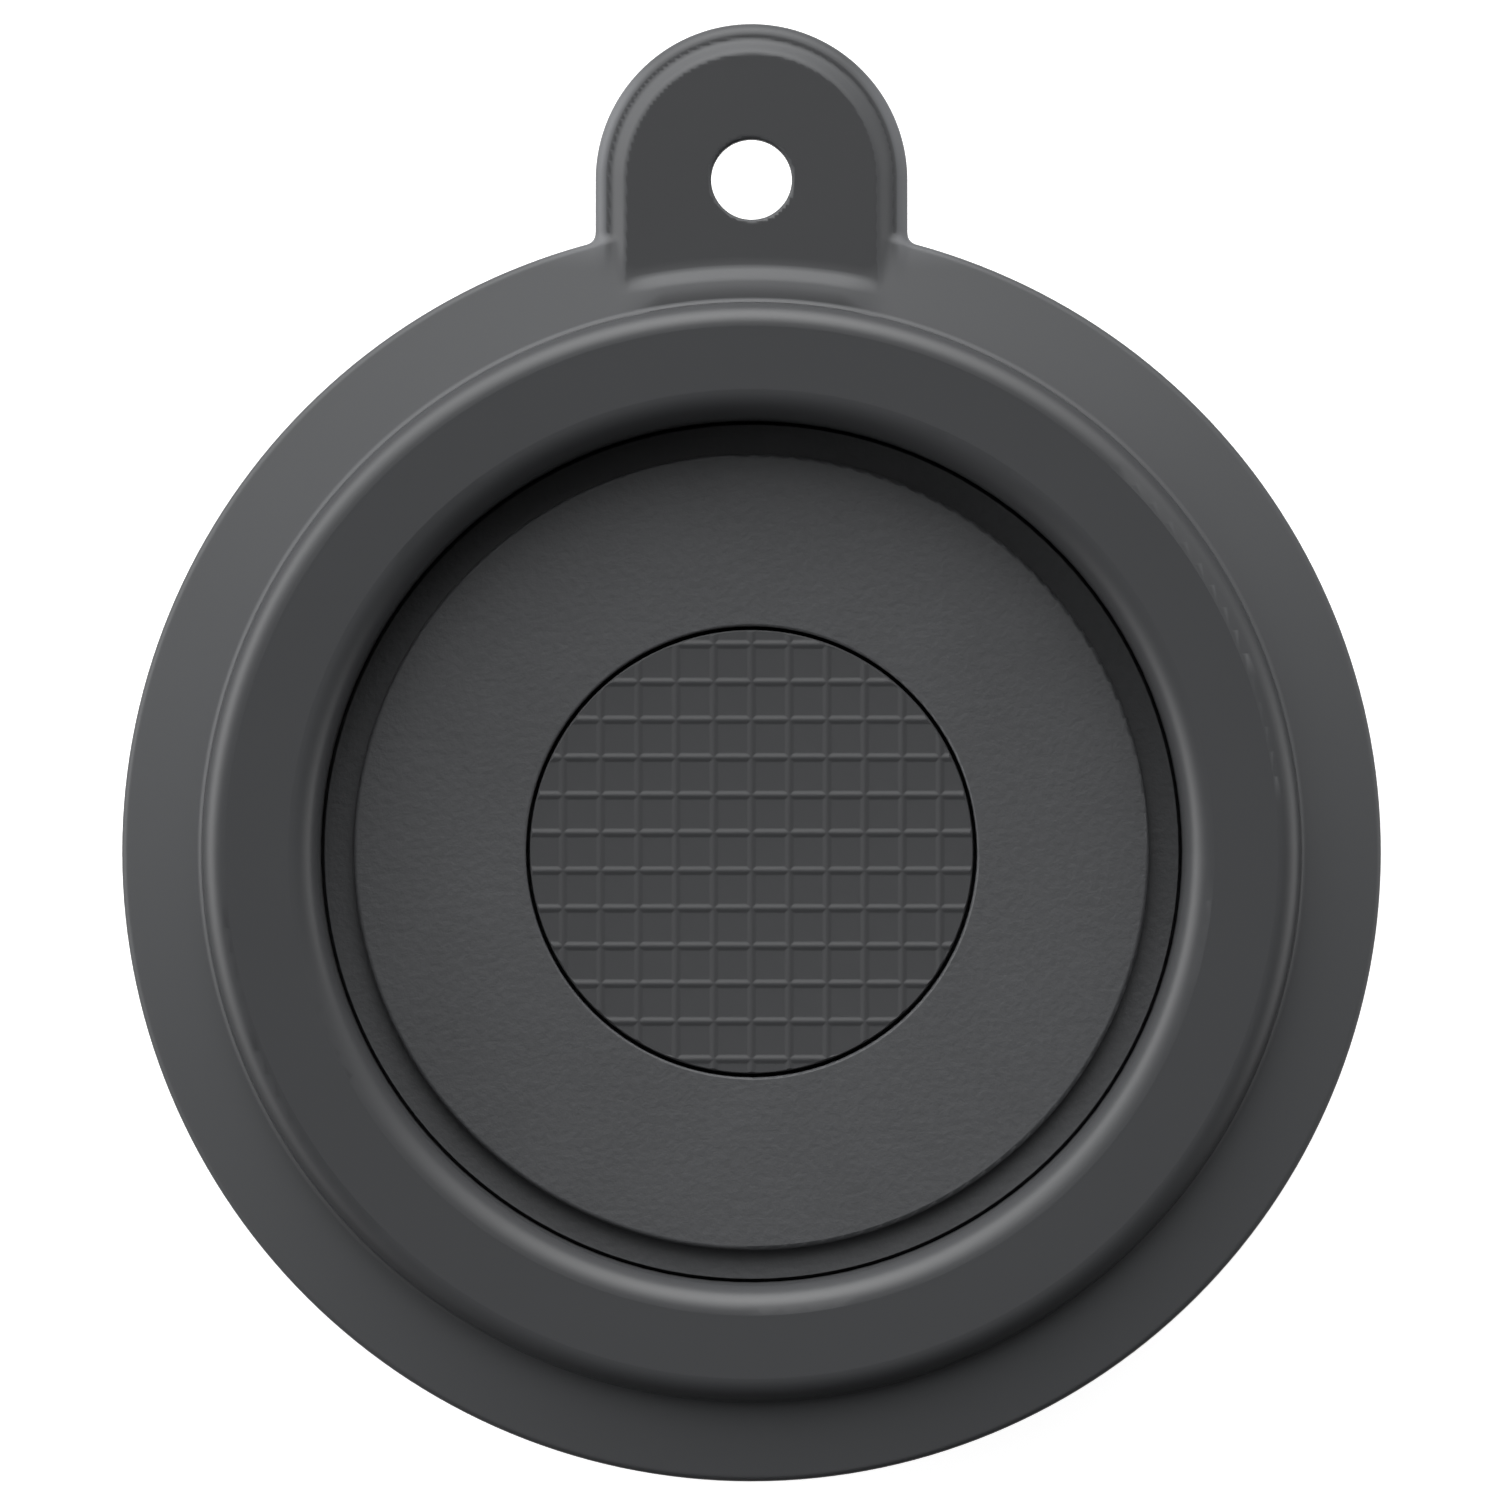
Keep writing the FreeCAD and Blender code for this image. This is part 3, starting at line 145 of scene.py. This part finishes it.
def ramp_node(tree, value, start, end, low, high):
    """Smooth step of a socket from low at start to high at end."""
    node = tree.nodes.new("ShaderNodeMapRange")
    node.interpolation_type = "SMOOTHSTEP"
    node.inputs["From Min"].default_value = start
    node.inputs["From Max"].default_value = end
    node.inputs["To Min"].default_value = low
    node.inputs["To Max"].default_value = high
    tree.links.new(value, node.inputs["Value"])
    return node.outputs["Result"]


def paint_lean_and_rim_light(t, place, mix, shader, lean_light, rim):
    """Painted light on the collar's skin: leaning faces are made paler, a painted brightening for light
    falling on them, and the rim along the tab's two sides gets a painted highlight.
    """
    form = t.nodes.new("ShaderNodeNewGeometry")
    split = t.nodes.new("ShaderNodeSeparateXYZ")
    link(t, form, "Normal", split, "Vector")
    # Painted light: faces that lean away from straight up are made paler, up to the lean factor.
    lean = ramp_node(t, split.outputs["Z"], LEAN_STARTS, LEAN_FULL, 1.0, lean_light)
    where = t.nodes.new("ShaderNodeSeparateXYZ")
    link(t, place, "Object", where, "Vector")
    past_centre = math_node(t, "SUBTRACT", where.outputs["Y"], TAB_CENTRE * MM)
    beyond = math_node(t, "MAXIMUM", past_centre, 0.0)
    side = math_node(t, "ABSOLUTE", where.outputs["X"], 0.0)
    side_squared = math_node(t, "MULTIPLY", side, side)
    beyond_squared = math_node(t, "MULTIPLY", beyond, beyond)
    reach = math_node(t, "SQRT", math_node(t, "ADD", side_squared, beyond_squared), 0.0)
    # Painted highlight: the rim along the tab's two outer sides is made paler still.
    edge = ramp_node(t, reach, RIM_STARTS * MM, RIM_FULL * MM, 0.0, rim)
    flank = ramp_node(t, side, FLANK_STARTS * MM, FLANK_FULL * MM, 0.0, 1.0)
    out = ramp_node(t, where.outputs["Y"], OUTWARD_STARTS * MM, OUTWARD_FULL * MM, 0.0, 1.0)
    band = math_node(t, "MULTIPLY", math_node(t, "MULTIPLY", edge, flank), out)
    factor = math_node(t, "MULTIPLY", lean, math_node(t, "ADD", band, 1.0))
    paler = t.nodes.new("ShaderNodeVectorMath")
    paler.operation = "SCALE"
    link(t, mix, "Vector", paler, 0)
    t.links.new(factor, paler.inputs["Scale"])
    link(t, paler, "Vector", shader, "Base Color")


def material(name, colour, rough, metal=0.0, grain=2500.0, bump=0.02, vary=0.06,
             stretch=(1, 1, 1), coat=0.0, alpha=1.0, lean_light=0.0, rim=0.0):
    """Procedural finish: fine grain in bump, colour and roughness, and slow patches in colour. On request
    also painted light: paler leaning faces and a painted highlight on the tab's rim.
    """
    m = bpy.data.materials.new(name)
    m.use_nodes = True
    t = m.node_tree
    shader = t.nodes["Principled BSDF"]
    shader.inputs["Base Color"].default_value = (*colour, 1)
    shader.inputs["Metallic"].default_value = metal
    shader.inputs["Specular IOR Level"].default_value = SPECULAR
    shader.inputs["Coat Weight"].default_value = coat
    shader.inputs["Coat Roughness"].default_value = COAT_ROUGHNESS
    place = t.nodes.new("ShaderNodeTexCoord")
    mapping = t.nodes.new("ShaderNodeMapping")
    mapping.inputs["Scale"].default_value = stretch
    link(t, place, "Object", mapping, "Vector")
    fine = t.nodes.new("ShaderNodeTexNoise")
    fine.inputs["Scale"].default_value = grain
    fine.inputs["Detail"].default_value = GRAIN_DETAIL
    fine.inputs["Roughness"].default_value = GRAIN_ROUGHNESS
    link(t, mapping, "Vector", fine, "Vector")
    slow = t.nodes.new("ShaderNodeTexNoise")
    slow.inputs["Scale"].default_value = PATCH_SCALE
    slow.inputs["Detail"].default_value = PATCH_DETAIL
    link(t, mapping, "Vector", slow, "Vector")
    tint = t.nodes.new("ShaderNodeMapRange")
    tint.inputs["To Min"].default_value = 1 - vary
    tint.inputs["To Max"].default_value = 1 + vary
    link(t, slow, "Fac", tint, "Value")
    speck = t.nodes.new("ShaderNodeMapRange")
    speck.inputs["To Min"].default_value = 1 - vary * SPECK_SHARE
    speck.inputs["To Max"].default_value = 1 + vary * SPECK_SHARE
    link(t, fine, "Fac", speck, "Value")
    both = t.nodes.new("ShaderNodeMath")
    both.operation = "MULTIPLY"
    link(t, tint, "Result", both, 0)
    link(t, speck, "Result", both, 1)
    mix = t.nodes.new("ShaderNodeVectorMath")
    mix.operation = "SCALE"
    mix.inputs[0].default_value = colour
    link(t, both, "Value", mix, "Scale")
    link(t, mix, "Vector", shader, "Base Color")
    roughness = t.nodes.new("ShaderNodeMapRange")
    roughness.inputs["To Min"].default_value = max(0.02, rough - ROUGH_VARY)
    roughness.inputs["To Max"].default_value = min(1.0, rough + ROUGH_VARY)
    link(t, fine, "Fac", roughness, "Value")
    link(t, roughness, "Result", shader, "Roughness")
    relief = t.nodes.new("ShaderNodeBump")
    relief.inputs["Strength"].default_value = 1.0
    relief.inputs["Distance"].default_value = bump * MM
    link(t, fine, "Fac", relief, "Height")
    link(t, relief, "Normal", shader, "Normal")
    # Painted light on leaning faces and a painted highlight on the tab's rim.
    if lean_light:
        paint_lean_and_rim_light(t, place, mix, shader, lean_light, rim)
    if alpha < 1:
        shader.inputs["Transmission Weight"].default_value = 1 - alpha
    return m


FINISH = {
    # The collar's 1.52 and 1.1 factors are painted light: paler leaning faces and a painted highlight on
    # the tab's rim.
    "soft_collar": material("soft_collar", (0.0435, 0.0448, 0.0473), 0.50, grain=5200, bump=0.004,
                            vary=0.03, lean_light=1.52, rim=1.1),
    "bezel": material("bezel", (0.0515, 0.0530, 0.0560), 0.36, grain=5200, bump=0.003, vary=0.03),
    "cover": material("cover", (0.0633, 0.0651, 0.0688), 0.56, grain=1500, bump=0.06, vary=0.16),
    "button": material("button", (0.0461, 0.0474, 0.0501), 0.50, grain=5200, bump=0.006, vary=0.05),
    "shell": material("shell", (0.046, 0.047, 0.050), 0.55, grain=3600, bump=0.015, vary=0.08),
    "deck": material("deck", (0.030, 0.031, 0.033), 0.45, grain=4200, bump=0.01),
    "grille": material("grille", (0.050, 0.051, 0.054), 0.50, grain=4200, bump=0.01),
    "impeller": material("impeller", (0.62, 0.64, 0.65), 0.30, grain=3000, bump=0.004, vary=0.03),
    "foot_rubber": material("foot_rubber", (0.016, 0.016, 0.017), 0.75, grain=3200, bump=0.02),
    "seal_rubber": material("seal_rubber", (0.025, 0.025, 0.027), 0.70, grain=4000, bump=0.01),
    "screw_steel": material("screw_steel", (0.56, 0.56, 0.55), 0.28, 1.0, grain=6000, bump=0.004,
                            stretch=(1, 1, 0.1)),
    "spring_steel": material("spring_steel", (0.60, 0.60, 0.60), 0.20, 1.0, grain=7000, bump=0.002),
    "shaft_steel": material("shaft_steel", (0.62, 0.62, 0.62), 0.16, 1.0, grain=5000, bump=0.002,
                            stretch=(1, 1, 8)),
    "can_steel": material("can_steel", (0.52, 0.53, 0.54), 0.32, 1.0, grain=5000, bump=0.003),
    "magnet": material("magnet", (0.05, 0.05, 0.055), 0.50, 0.4, grain=5000, bump=0.01),
    "bronze": material("bronze", (0.55, 0.34, 0.14), 0.34, 1.0, grain=6000, bump=0.004),
    "inner_plastic": material("inner_plastic", (0.30, 0.30, 0.29), 0.48, grain=3600, bump=0.008),
    "switch_black": material("switch_black", (0.018, 0.018, 0.019), 0.42, grain=4500, bump=0.006),
    "switch_red": material("switch_red", (0.42, 0.03, 0.02), 0.38, grain=4500, bump=0.004),
    "board_green": material("board_green", (0.02, 0.13, 0.05), 0.32, grain=1600, bump=0.01,
                            vary=0.18, coat=0.4),
    "socket_metal": material("socket_metal", (0.62, 0.62, 0.61), 0.24, 1.0, grain=6000, bump=0.003),
    "cell_wrap": material("cell_wrap", (0.03, 0.11, 0.34), 0.28, grain=1200, bump=0.01, coat=0.5),
    "lens": material("lens", (0.85, 0.92, 0.90), 0.30, grain=4000, bump=0.003, alpha=0.5),
    "lamp": material("lamp", (0.9, 0.85, 0.5), 0.35, grain=5000, bump=0.003),
    "wire_red": material("wire_red", (0.50, 0.03, 0.03), 0.45, grain=4000, bump=0.006),
    "wire_black": material("wire_black", (0.02, 0.02, 0.02), 0.45, grain=4000, bump=0.006),
}

SLOT_OF = {}
for part in frame["record"]["subparts"]:
    SLOT_OF[part["node"]] = part["material_slot"]
for name, node in frame["nodes"].items():
    node.data.materials.clear()
    node.data.materials.append(FINISH[SLOT_OF[name]])


# ---------------------------------------------------------------- surfaces from level sets
DRAW_ROUNDS = 5
DRAW_LIMIT = 0.1
LEAST_SLOPE = 0.05
NORMAL_STEP = 0.04


def smoothstep(low, high, value):
    t = np.clip((value - low) / (high - low), 0, 1)
    return t * t * (3 - 2 * t)


def round_both(a, b, radius):
    """Where both a and b are inside, with a round edge of the radius where they meet."""
    outer = np.hypot(np.maximum(a + radius, 0), np.maximum(b + radius, 0)) - radius
    return outer + np.minimum(np.maximum(a, b) + radius, 0)


def merge(a, b, width):
    """Where a or b is inside, with a soft fillet of the width in the corner between them."""
    h = np.maximum(width - np.abs(a - b), 0) / width
    return np.minimum(a, b) - h * h * width / 4


def slope_of(level, points, step=0.01):
    """Gradient of the level set at each point, by central differences."""
    out = np.empty_like(points)
    for axis in range(3):
        shift = np.zeros(3)
        shift[axis] = step
        out[:, axis] = (level(*(points + shift).T) - level(*(points - shift).T)) / (2 * step)
    return out


def level_surface(name, level, radii, turns, heights):
    """Closed mesh of level = 0 on a round grid. Each corner is drawn onto it and keeps its true normal."""
    grid_r, grid_a, grid_z = np.meshgrid(radii, turns, heights, indexing="ij")
    value = level(grid_r * np.cos(grid_a), grid_r * np.sin(grid_a), grid_z)
    nr, na, nz = value.shape
    inside = value < 0
    wrap = np.roll(inside, -1, axis=1)
    count = np.zeros((nr - 1, na, nz - 1), int)
    for source in (inside, wrap):
        for i in (0, 1):
            for k in (0, 1):
                count += source[i:nr - 1 + i, :, k:nz - 1 + k]
    cells = np.argwhere((count > 0) & (count < 8))
    number = -np.ones((nr - 1, na, nz - 1), int)
    number[tuple(cells.T)] = np.arange(len(cells))
    total = np.zeros((len(cells), 3))
    hits = np.zeros(len(cells))

    def corner(offset):
        i = cells[:, 0] + offset[0]
        j = (cells[:, 1] + offset[1]) % na
        k = cells[:, 2] + offset[2]
        r, a, z = radii[i], turns[j], heights[k]
        return np.stack([r * np.cos(a), r * np.sin(a), z], axis=1), value[i, j, k]

    corners = [(i, j, k) for i in (0, 1) for j in (0, 1) for k in (0, 1)]
    for one in corners:
        for axis in range(3):
            if one[axis] == 1:
                continue
            other = tuple(v + (n == axis) for n, v in enumerate(one))
            (place_a, value_a), (place_b, value_b) = corner(one), corner(other)
            crossed = (value_a < 0) != (value_b < 0)
            share = np.where(crossed, value_a / np.where(crossed, value_a - value_b, 1), 0)
            point = place_a + (place_b - place_a) * share[:, None]
            total += point * crossed[:, None]
            hits += crossed
    points = total / hits[:, None]
    for _ in range(DRAW_ROUNDS):
        grad = slope_of(level, points)
        size = np.maximum((grad ** 2).sum(axis=1), LEAST_SLOPE)
        points -= grad * (np.clip(level(*points.T), -DRAW_LIMIT, DRAW_LIMIT) / size)[:, None]

    quads = []

    def add(first, second, around):
        flip = first & ~second
        cross = first != second
        where = np.argwhere(cross)
        turned = flip[cross]
        ring = [number[tuple(around(where, n))] for n in range(4)]
        ring = np.stack(ring, axis=1)
        ring[~turned] = ring[~turned][:, ::-1]
        quads.append(ring[(ring >= 0).all(axis=1)])

    near = ((0, 0), (-1, 0), (-1, -1), (0, -1))

    def round_r(w, n):
        return w[:, 0], (w[:, 1] - (near[n][0] < 0)) % na, np.clip(w[:, 2] + near[n][1], 0, nz - 2)

    def round_a(w, n):
        return np.clip(w[:, 0] + near[n][1], 0, nr - 2), w[:, 1], np.clip(w[:, 2] + near[n][0], 0, nz - 2)

    def round_z(w, n):
        return np.clip(w[:, 0] + near[n][0], 0, nr - 2), (w[:, 1] - (near[n][1] < 0)) % na, w[:, 2]

    add(inside[:-1], inside[1:], round_r)
    add(inside, wrap, round_a)
    add(inside[:, :, :-1], inside[:, :, 1:], round_z)
    faces = np.concatenate(quads)
    normals = slope_of(level, points, NORMAL_STEP)
    normals /= np.linalg.norm(normals, axis=1)[:, None]
    mesh = bpy.data.meshes.new(name)
    mesh.from_pydata((points * MM).tolist(), [], faces.tolist())
    mesh.update()
    mesh.shade_smooth()
    mesh.normals_split_custom_set_from_vertices(normals.tolist())
    piece = bpy.data.objects.new(name, mesh)
    bpy.context.collection.objects.link(piece)
    return piece


def spaced(*runs):
    """Grid lines from runs of (start, end, step)."""
    parts = []
    for start, end, step in runs:
        parts.append(np.linspace(start, end, max(2, int(round(abs(end - start) / step)) + 1))[:-1])
    return np.concatenate(parts + [np.array([runs[-1][1]])])


# ---------------------------------------------------------------- soft collar
FINE_HALF = math.radians(19)
FINE_TURN = math.radians(0.31)
COARSE_TURN = math.radians(1.5)


def collar_level(x, y, z):
    """Level set of the collar: shoulder, upright edge, hanging tab with its rim, and the hole."""
    r = np.hypot(x, y)
    shoulder = EDGE + (BODY_RADIUS - r) * SLOPE
    middle = (1 - smoothstep(RAMP_INNER, RAMP_OUTER, np.abs(x))) * (y > 0)
    ramp_head = RAMP_FOOT - RAMP_RUN
    past = np.clip((ramp_head - r) / (ramp_head - BEZEL_RADIUS), 0, 1)
    swell = RAMP_SWELL * smoothstep(RAMP_FOOT, ramp_head, r) * (1 - RAMP_FALL * past * past)
    cove = COVE_HEIGHT * np.clip(1 - (r - BEZEL_RADIUS) / COVE_WIDTH, 0, 1) ** 2
    top = shoulder + swell * middle + cove
    ring = round_both(r - BODY_RADIUS, (z - top) * COSINE, EDGE_ROUND)
    ring = round_both(ring, COLLAR_BOTTOM - z, SKIRT_ROUND)
    outline = np.hypot(x, np.maximum(y - TAB_CENTRE, 0)) - TAB_HALF
    face = TAB_LEVEL - TAB_STEP + TAB_STEP * smoothstep(BEVEL_START, BEVEL_END, -outline)
    tab = round_both(outline, z - face, TAB_TOP_ROUND)
    tab = round_both(tab, TAB_UNDER - z, TAB_FOOT_ROUND)
    tab = np.maximum(tab, TAB_ROOT - y)
    soft = ROOT_FILLET + FLANK_FILLET * smoothstep(FLANK_INNER, FLANK_OUTER, np.abs(x))
    solid = merge(ring, tab, soft)
    under_lip = np.maximum(r - NECK_RADIUS, (z - shoulder + CROWN_WALL) * COSINE)
    core = np.minimum(under_lip, r - BEZEL_RADIUS + BEZEL_OVERLAP)
    solid = np.maximum(solid, -core)
    return round_both(solid, HOLE_RADIUS - np.hypot(x, y - TAB_CENTRE), HOLE_ROUND)


def soft_collar():
    """The collar in place of bumper_collar, on a grid that is close at the tab and wide elsewhere."""
    radii = spaced((43.2, 43.9, 0.14), (43.9, 50.4, 0.24), (50.4, 66.3, 0.28))
    tab_way = math.pi / 2
    turns = spaced((tab_way - FINE_HALF, tab_way + FINE_HALF, FINE_TURN),
                   (tab_way + FINE_HALF, tab_way + 2 * math.pi - FINE_HALF, COARSE_TURN))[:-1]
    heights = spaced((43.6, 45.0, 0.2), (45.0, 49.0, 0.5), (49.0, 54.2, 0.21))
    piece = level_surface("soft_collar", collar_level, radii, turns, heights)
    piece.data.materials.append(FINISH["soft_collar"])
    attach(piece, "housing")
    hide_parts("bumper_collar")


# ---------------------------------------------------------------- ribbed button
def closed_from_grid(name, x_lines, y_lines, height, low):
    """Closed block whose top follows height(x, y) on the grid lines and whose bottom is flat."""
    nx, ny = len(x_lines), len(y_lines)
    gx, gy = np.meshgrid(x_lines, y_lines, indexing="ij")
    top = np.stack([gx, gy, height(gx, gy)], axis=2).reshape(-1, 3)
    verts = [tuple(v * MM) for v in top]
    faces = []
    for i in range(nx - 1):
        for j in range(ny - 1):
            a = i * ny + j
            faces.append((a, a + ny, a + ny + 1, a + 1))
    rim = [i * ny for i in range(nx)]
    rim += [(nx - 1) * ny + j for j in range(1, ny)]
    rim += [i * ny + ny - 1 for i in range(nx - 2, -1, -1)]
    rim += [j for j in range(ny - 2, 0, -1)]
    base = len(verts)
    for index in rim:
        verts.append((verts[index][0], verts[index][1], low * MM))
    for n in range(len(rim)):
        after = (n + 1) % len(rim)
        faces.append((rim[after], rim[n], base + n, base + after))
    faces.append(tuple(base + n for n in range(len(rim) - 1, -1, -1)))
    mesh = bpy.data.meshes.new(name)
    mesh.from_pydata(verts, [], faces)
    mesh.update()
    piece = bpy.data.objects.new(name, mesh)
    bpy.context.collection.objects.link(piece)
    return piece


def lathe(name, outline, segments=256):
    """Closed turned piece from an outline of (radius, height) that starts and ends on the axis."""
    mesh = bpy.data.meshes.new(name)
    build = bmesh.new()
    rings = []
    for radius, height in outline:
        if radius == 0:
            rings.append([build.verts.new((0, 0, height * MM))])
            continue
        ring = []
        for n in range(segments):
            a = 2 * math.pi * n / segments
            across, along = radius * math.cos(a) * MM, radius * math.sin(a) * MM
            ring.append(build.verts.new((across, along, height * MM)))
        rings.append(ring)
    for low, high in zip(rings, rings[1:]):
        for n in range(segments):
            after = (n + 1) % segments
            if len(low) == 1:
                build.faces.new((low[0], high[after], high[n]))
            elif len(high) == 1:
                build.faces.new((low[n], low[after], high[0]))
            else:
                build.faces.new((low[n], low[after], high[after], high[n]))
    bmesh.ops.recalc_face_normals(build, faces=build.faces)
    build.to_mesh(mesh)
    build.free()
    piece = bpy.data.objects.new(name, mesh)
    bpy.context.collection.objects.link(piece)
    return piece


def rib_lines(offset):
    """Grid lines across the ribs: close together on each rib, and one in the middle of each cell."""
    marks = []
    for n in range(-RIBS_EACH_WAY, RIBS_EACH_WAY + 1):
        middle = n * RIB_PITCH + offset
        for t in np.linspace(-RIB_HALF, RIB_HALF, RIB_CUTS):
            marks.append(middle + t)
        marks.append(middle + RIB_PITCH / 2)
    return np.array([m for m in marks if abs(m) < FIELD_HALF])


def rib_height(x, y):
    """Height of the button's face: a square grid of low rounded ribs."""
    def rib(v, offset):
        away = np.abs((v - offset + RIB_PITCH / 2) % RIB_PITCH - RIB_PITCH / 2)
        return 0.5 + 0.5 * np.cos(np.pi * np.clip(away / RIB_HALF, 0, 1))
    a, b = rib(x, 0.0), rib(y, RIB_PITCH / 2)
    return FACE - RIB_HEIGHT + RIB_HEIGHT * np.maximum(a, b)


def rib_normals(mesh):
    """A normal for each face corner: the ribs' own on the top, the face's or the wall's elsewhere."""
    step = 0.01
    normals = []
    for face in mesh.polygons:
        for index in face.vertices:
            x, y = (v / MM for v in mesh.vertices[index].co[:2])
            if face.normal.z > 0.6 and math.hypot(x, y) < BUTTON_RADIUS - RIM_BAND:
                across = (rib_height(x + step, y) - rib_height(x - step, y)) / (2 * step)
                along = (rib_height(x, y + step) - rib_height(x, y - step)) / (2 * step)
                normals.append(Vector((-across, -along, 1)).normalized())
            elif abs(face.normal.z) < 0.3 and math.hypot(x, y) > BUTTON_RADIUS - RIM_BAND:
                normals.append(Vector((x, y, 0)).normalized())
            else:
                normals.append(face.normal)
    return normals


def ribbed_button():
    """The button's cap in place of button_cap: the rib field cut to the cap's turned outline."""
    x_lines, y_lines = rib_lines(0.0), rib_lines(RIB_PITCH / 2)
    field = closed_from_grid("ribbed_button", x_lines, y_lines, rib_height, CAP_UNDER)
    plug = lathe("button_outline", [
        (0, CAP_UNDER + STEM_POCKET), (STEM_HEAD, CAP_UNDER + STEM_POCKET), (STEM_HEAD, CAP_UNDER),
        (BUTTON_RADIUS - BUTTON_FOOT, CAP_UNDER), (BUTTON_RADIUS, CAP_UNDER + BUTTON_FOOT),
        (BUTTON_RADIUS, FACE - BUTTON_ROUND), (BUTTON_RADIUS - 0.04, FACE - 0.14),
        (BUTTON_RADIUS - 0.16, FACE - 0.02), (BUTTON_RADIUS - RIM_BAND, FACE + RIM_BAND),
        (0, FACE + RIM_BAND)])
    cut = field.modifiers.new("outline", "BOOLEAN")
    cut.operation = "INTERSECT"
    cut.solver = "EXACT"
    cut.object = plug
    done = bpy.data.meshes.new_from_object(field.evaluated_get(bpy.context.evaluated_depsgraph_get()))
    field.modifiers.clear()
    field.data = done
    bpy.data.objects.remove(plug)
    done.materials.clear()
    done.materials.append(FINISH["button"])
    done.shade_smooth()
    done.normals_split_custom_set(rib_normals(done))
    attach(field, "button")
    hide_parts("button_cap")


soft_collar()
ribbed_button()

# ---------------------------------------------------------------- stage
FLOOR_RADIUS = 6.0
FLOOR_DROP = 0.0002
FLOOR_GLOW = 0.88
FLOOR_SEGMENTS = 96
LOBE_POWER = 14.0
ROOM_LOW = 2.0
LOW_POWER = 3.0
# Soft lights of the room, as (azimuth, angle down from straight above, strength).
# Azimuth 0 is +X and 90 is +Y.
ROOM_LIGHTS = (
    (60, 50, 0.46), (90, 48, 4.00), (120, 50, 0.69), (60, 74, 1.66), (90, 74, 2.90), (120, 74, 2.10),
    (0, 74, 0.85), (0, 92, 1.50), (150, 74, 2.76), (180, 74, 2.75), (180, 92, 0.80), (210, 74, 0.58),
)


def floor():
    """Pale floor that lights nothing and is seen only from above."""
    mesh = bpy.data.meshes.new("floor")
    build = bmesh.new()
    bmesh.ops.create_circle(build, cap_ends=True, segments=FLOOR_SEGMENTS, radius=FLOOR_RADIUS)
    build.to_mesh(mesh)
    build.free()
    ground = bpy.data.objects.new("floor", mesh)
    bpy.context.collection.objects.link(ground)
    ground.location.z = -FLOOR_DROP
    ground.visible_diffuse = False
    ground.visible_glossy = False
    m = bpy.data.materials.new("floor")
    m.use_nodes = True
    t = m.node_tree
    shader = t.nodes["Principled BSDF"]
    shader.inputs["Base Color"].default_value = (0.7, 0.7, 0.7, 1)
    shader.inputs["Roughness"].default_value = 0.9
    shader.inputs["Specular IOR Level"].default_value = 0.1
    shader.inputs["Emission Color"].default_value = (1, 1, 1, 1)
    shader.inputs["Emission Strength"].default_value = FLOOR_GLOW
    clear = t.nodes.new("ShaderNodeBsdfTransparent")
    side = t.nodes.new("ShaderNodeNewGeometry")
    choose = t.nodes.new("ShaderNodeMixShader")
    link(t, side, "Backfacing", choose, "Fac")
    link(t, shader, "BSDF", choose, 1)
    link(t, clear, "BSDF", choose, 2)
    link(t, choose, "Shader", t.nodes["Material Output"], "Surface")
    mesh.materials.append(m)


def lobe(tree, way, direction, power, strength):
    """Soft patch of light around a direction."""
    dot = tree.nodes.new("ShaderNodeVectorMath")
    dot.operation = "DOT_PRODUCT"
    tree.links.new(way, dot.inputs[0])
    dot.inputs[1].default_value = direction
    facing = math_node(tree, "MAXIMUM", dot.outputs["Value"], 0.0)
    return math_node(tree, "MULTIPLY", math_node(tree, "POWER", facing, power), strength)


def room():
    """Room light: soft patches in the sky, and a glow from below for a pale floor's bounce."""
    world = bpy.data.worlds.new("room")
    bpy.context.scene.world = world
    world.use_nodes = True
    t = world.node_tree
    back = t.nodes["Background"]
    place = t.nodes.new("ShaderNodeTexCoord")
    unit = t.nodes.new("ShaderNodeVectorMath")
    unit.operation = "NORMALIZE"
    link(t, place, "Generated", unit, 0)
    way = unit.outputs["Vector"]
    total = lobe(t, way, (0, 0, -1), LOW_POWER, ROOM_LOW)
    for azimuth, zenith, strength in ROOM_LIGHTS:
        a, z = math.radians(azimuth), math.radians(zenith)
        direction = (math.cos(a) * math.sin(z), math.sin(a) * math.sin(z), math.cos(z))
        total = math_node(t, "ADD", total, lobe(t, way, direction, LOBE_POWER, strength))
    t.links.new(total, back.inputs["Strength"])
    back.inputs["Color"].default_value = (1, 1, 1, 1)


floor()
room()

FOCAL = 400
SENSOR = 36
FRAME_PIXELS = 1500
PIXELS_PER_MM = 12.6
SPAN = FRAME_PIXELS / PIXELS_PER_MM * MM
AIM = (-0.12 * MM, 8.1 * MM, 0.0530)

camera = bpy.data.objects.new("camera", bpy.data.cameras.new("camera"))
bpy.context.collection.objects.link(camera)
camera.data.lens = FOCAL
camera.data.sensor_width = SENSOR
camera.data.clip_end = 20
camera.location = (AIM[0], AIM[1], AIM[2] + SPAN * FOCAL / SENSOR)
camera.rotation_euler = (0, 0, 0)
bpy.context.scene.camera = camera

bpy.context.scene.view_settings.view_transform = "Standard"
bpy.context.scene.view_settings.look = "None"
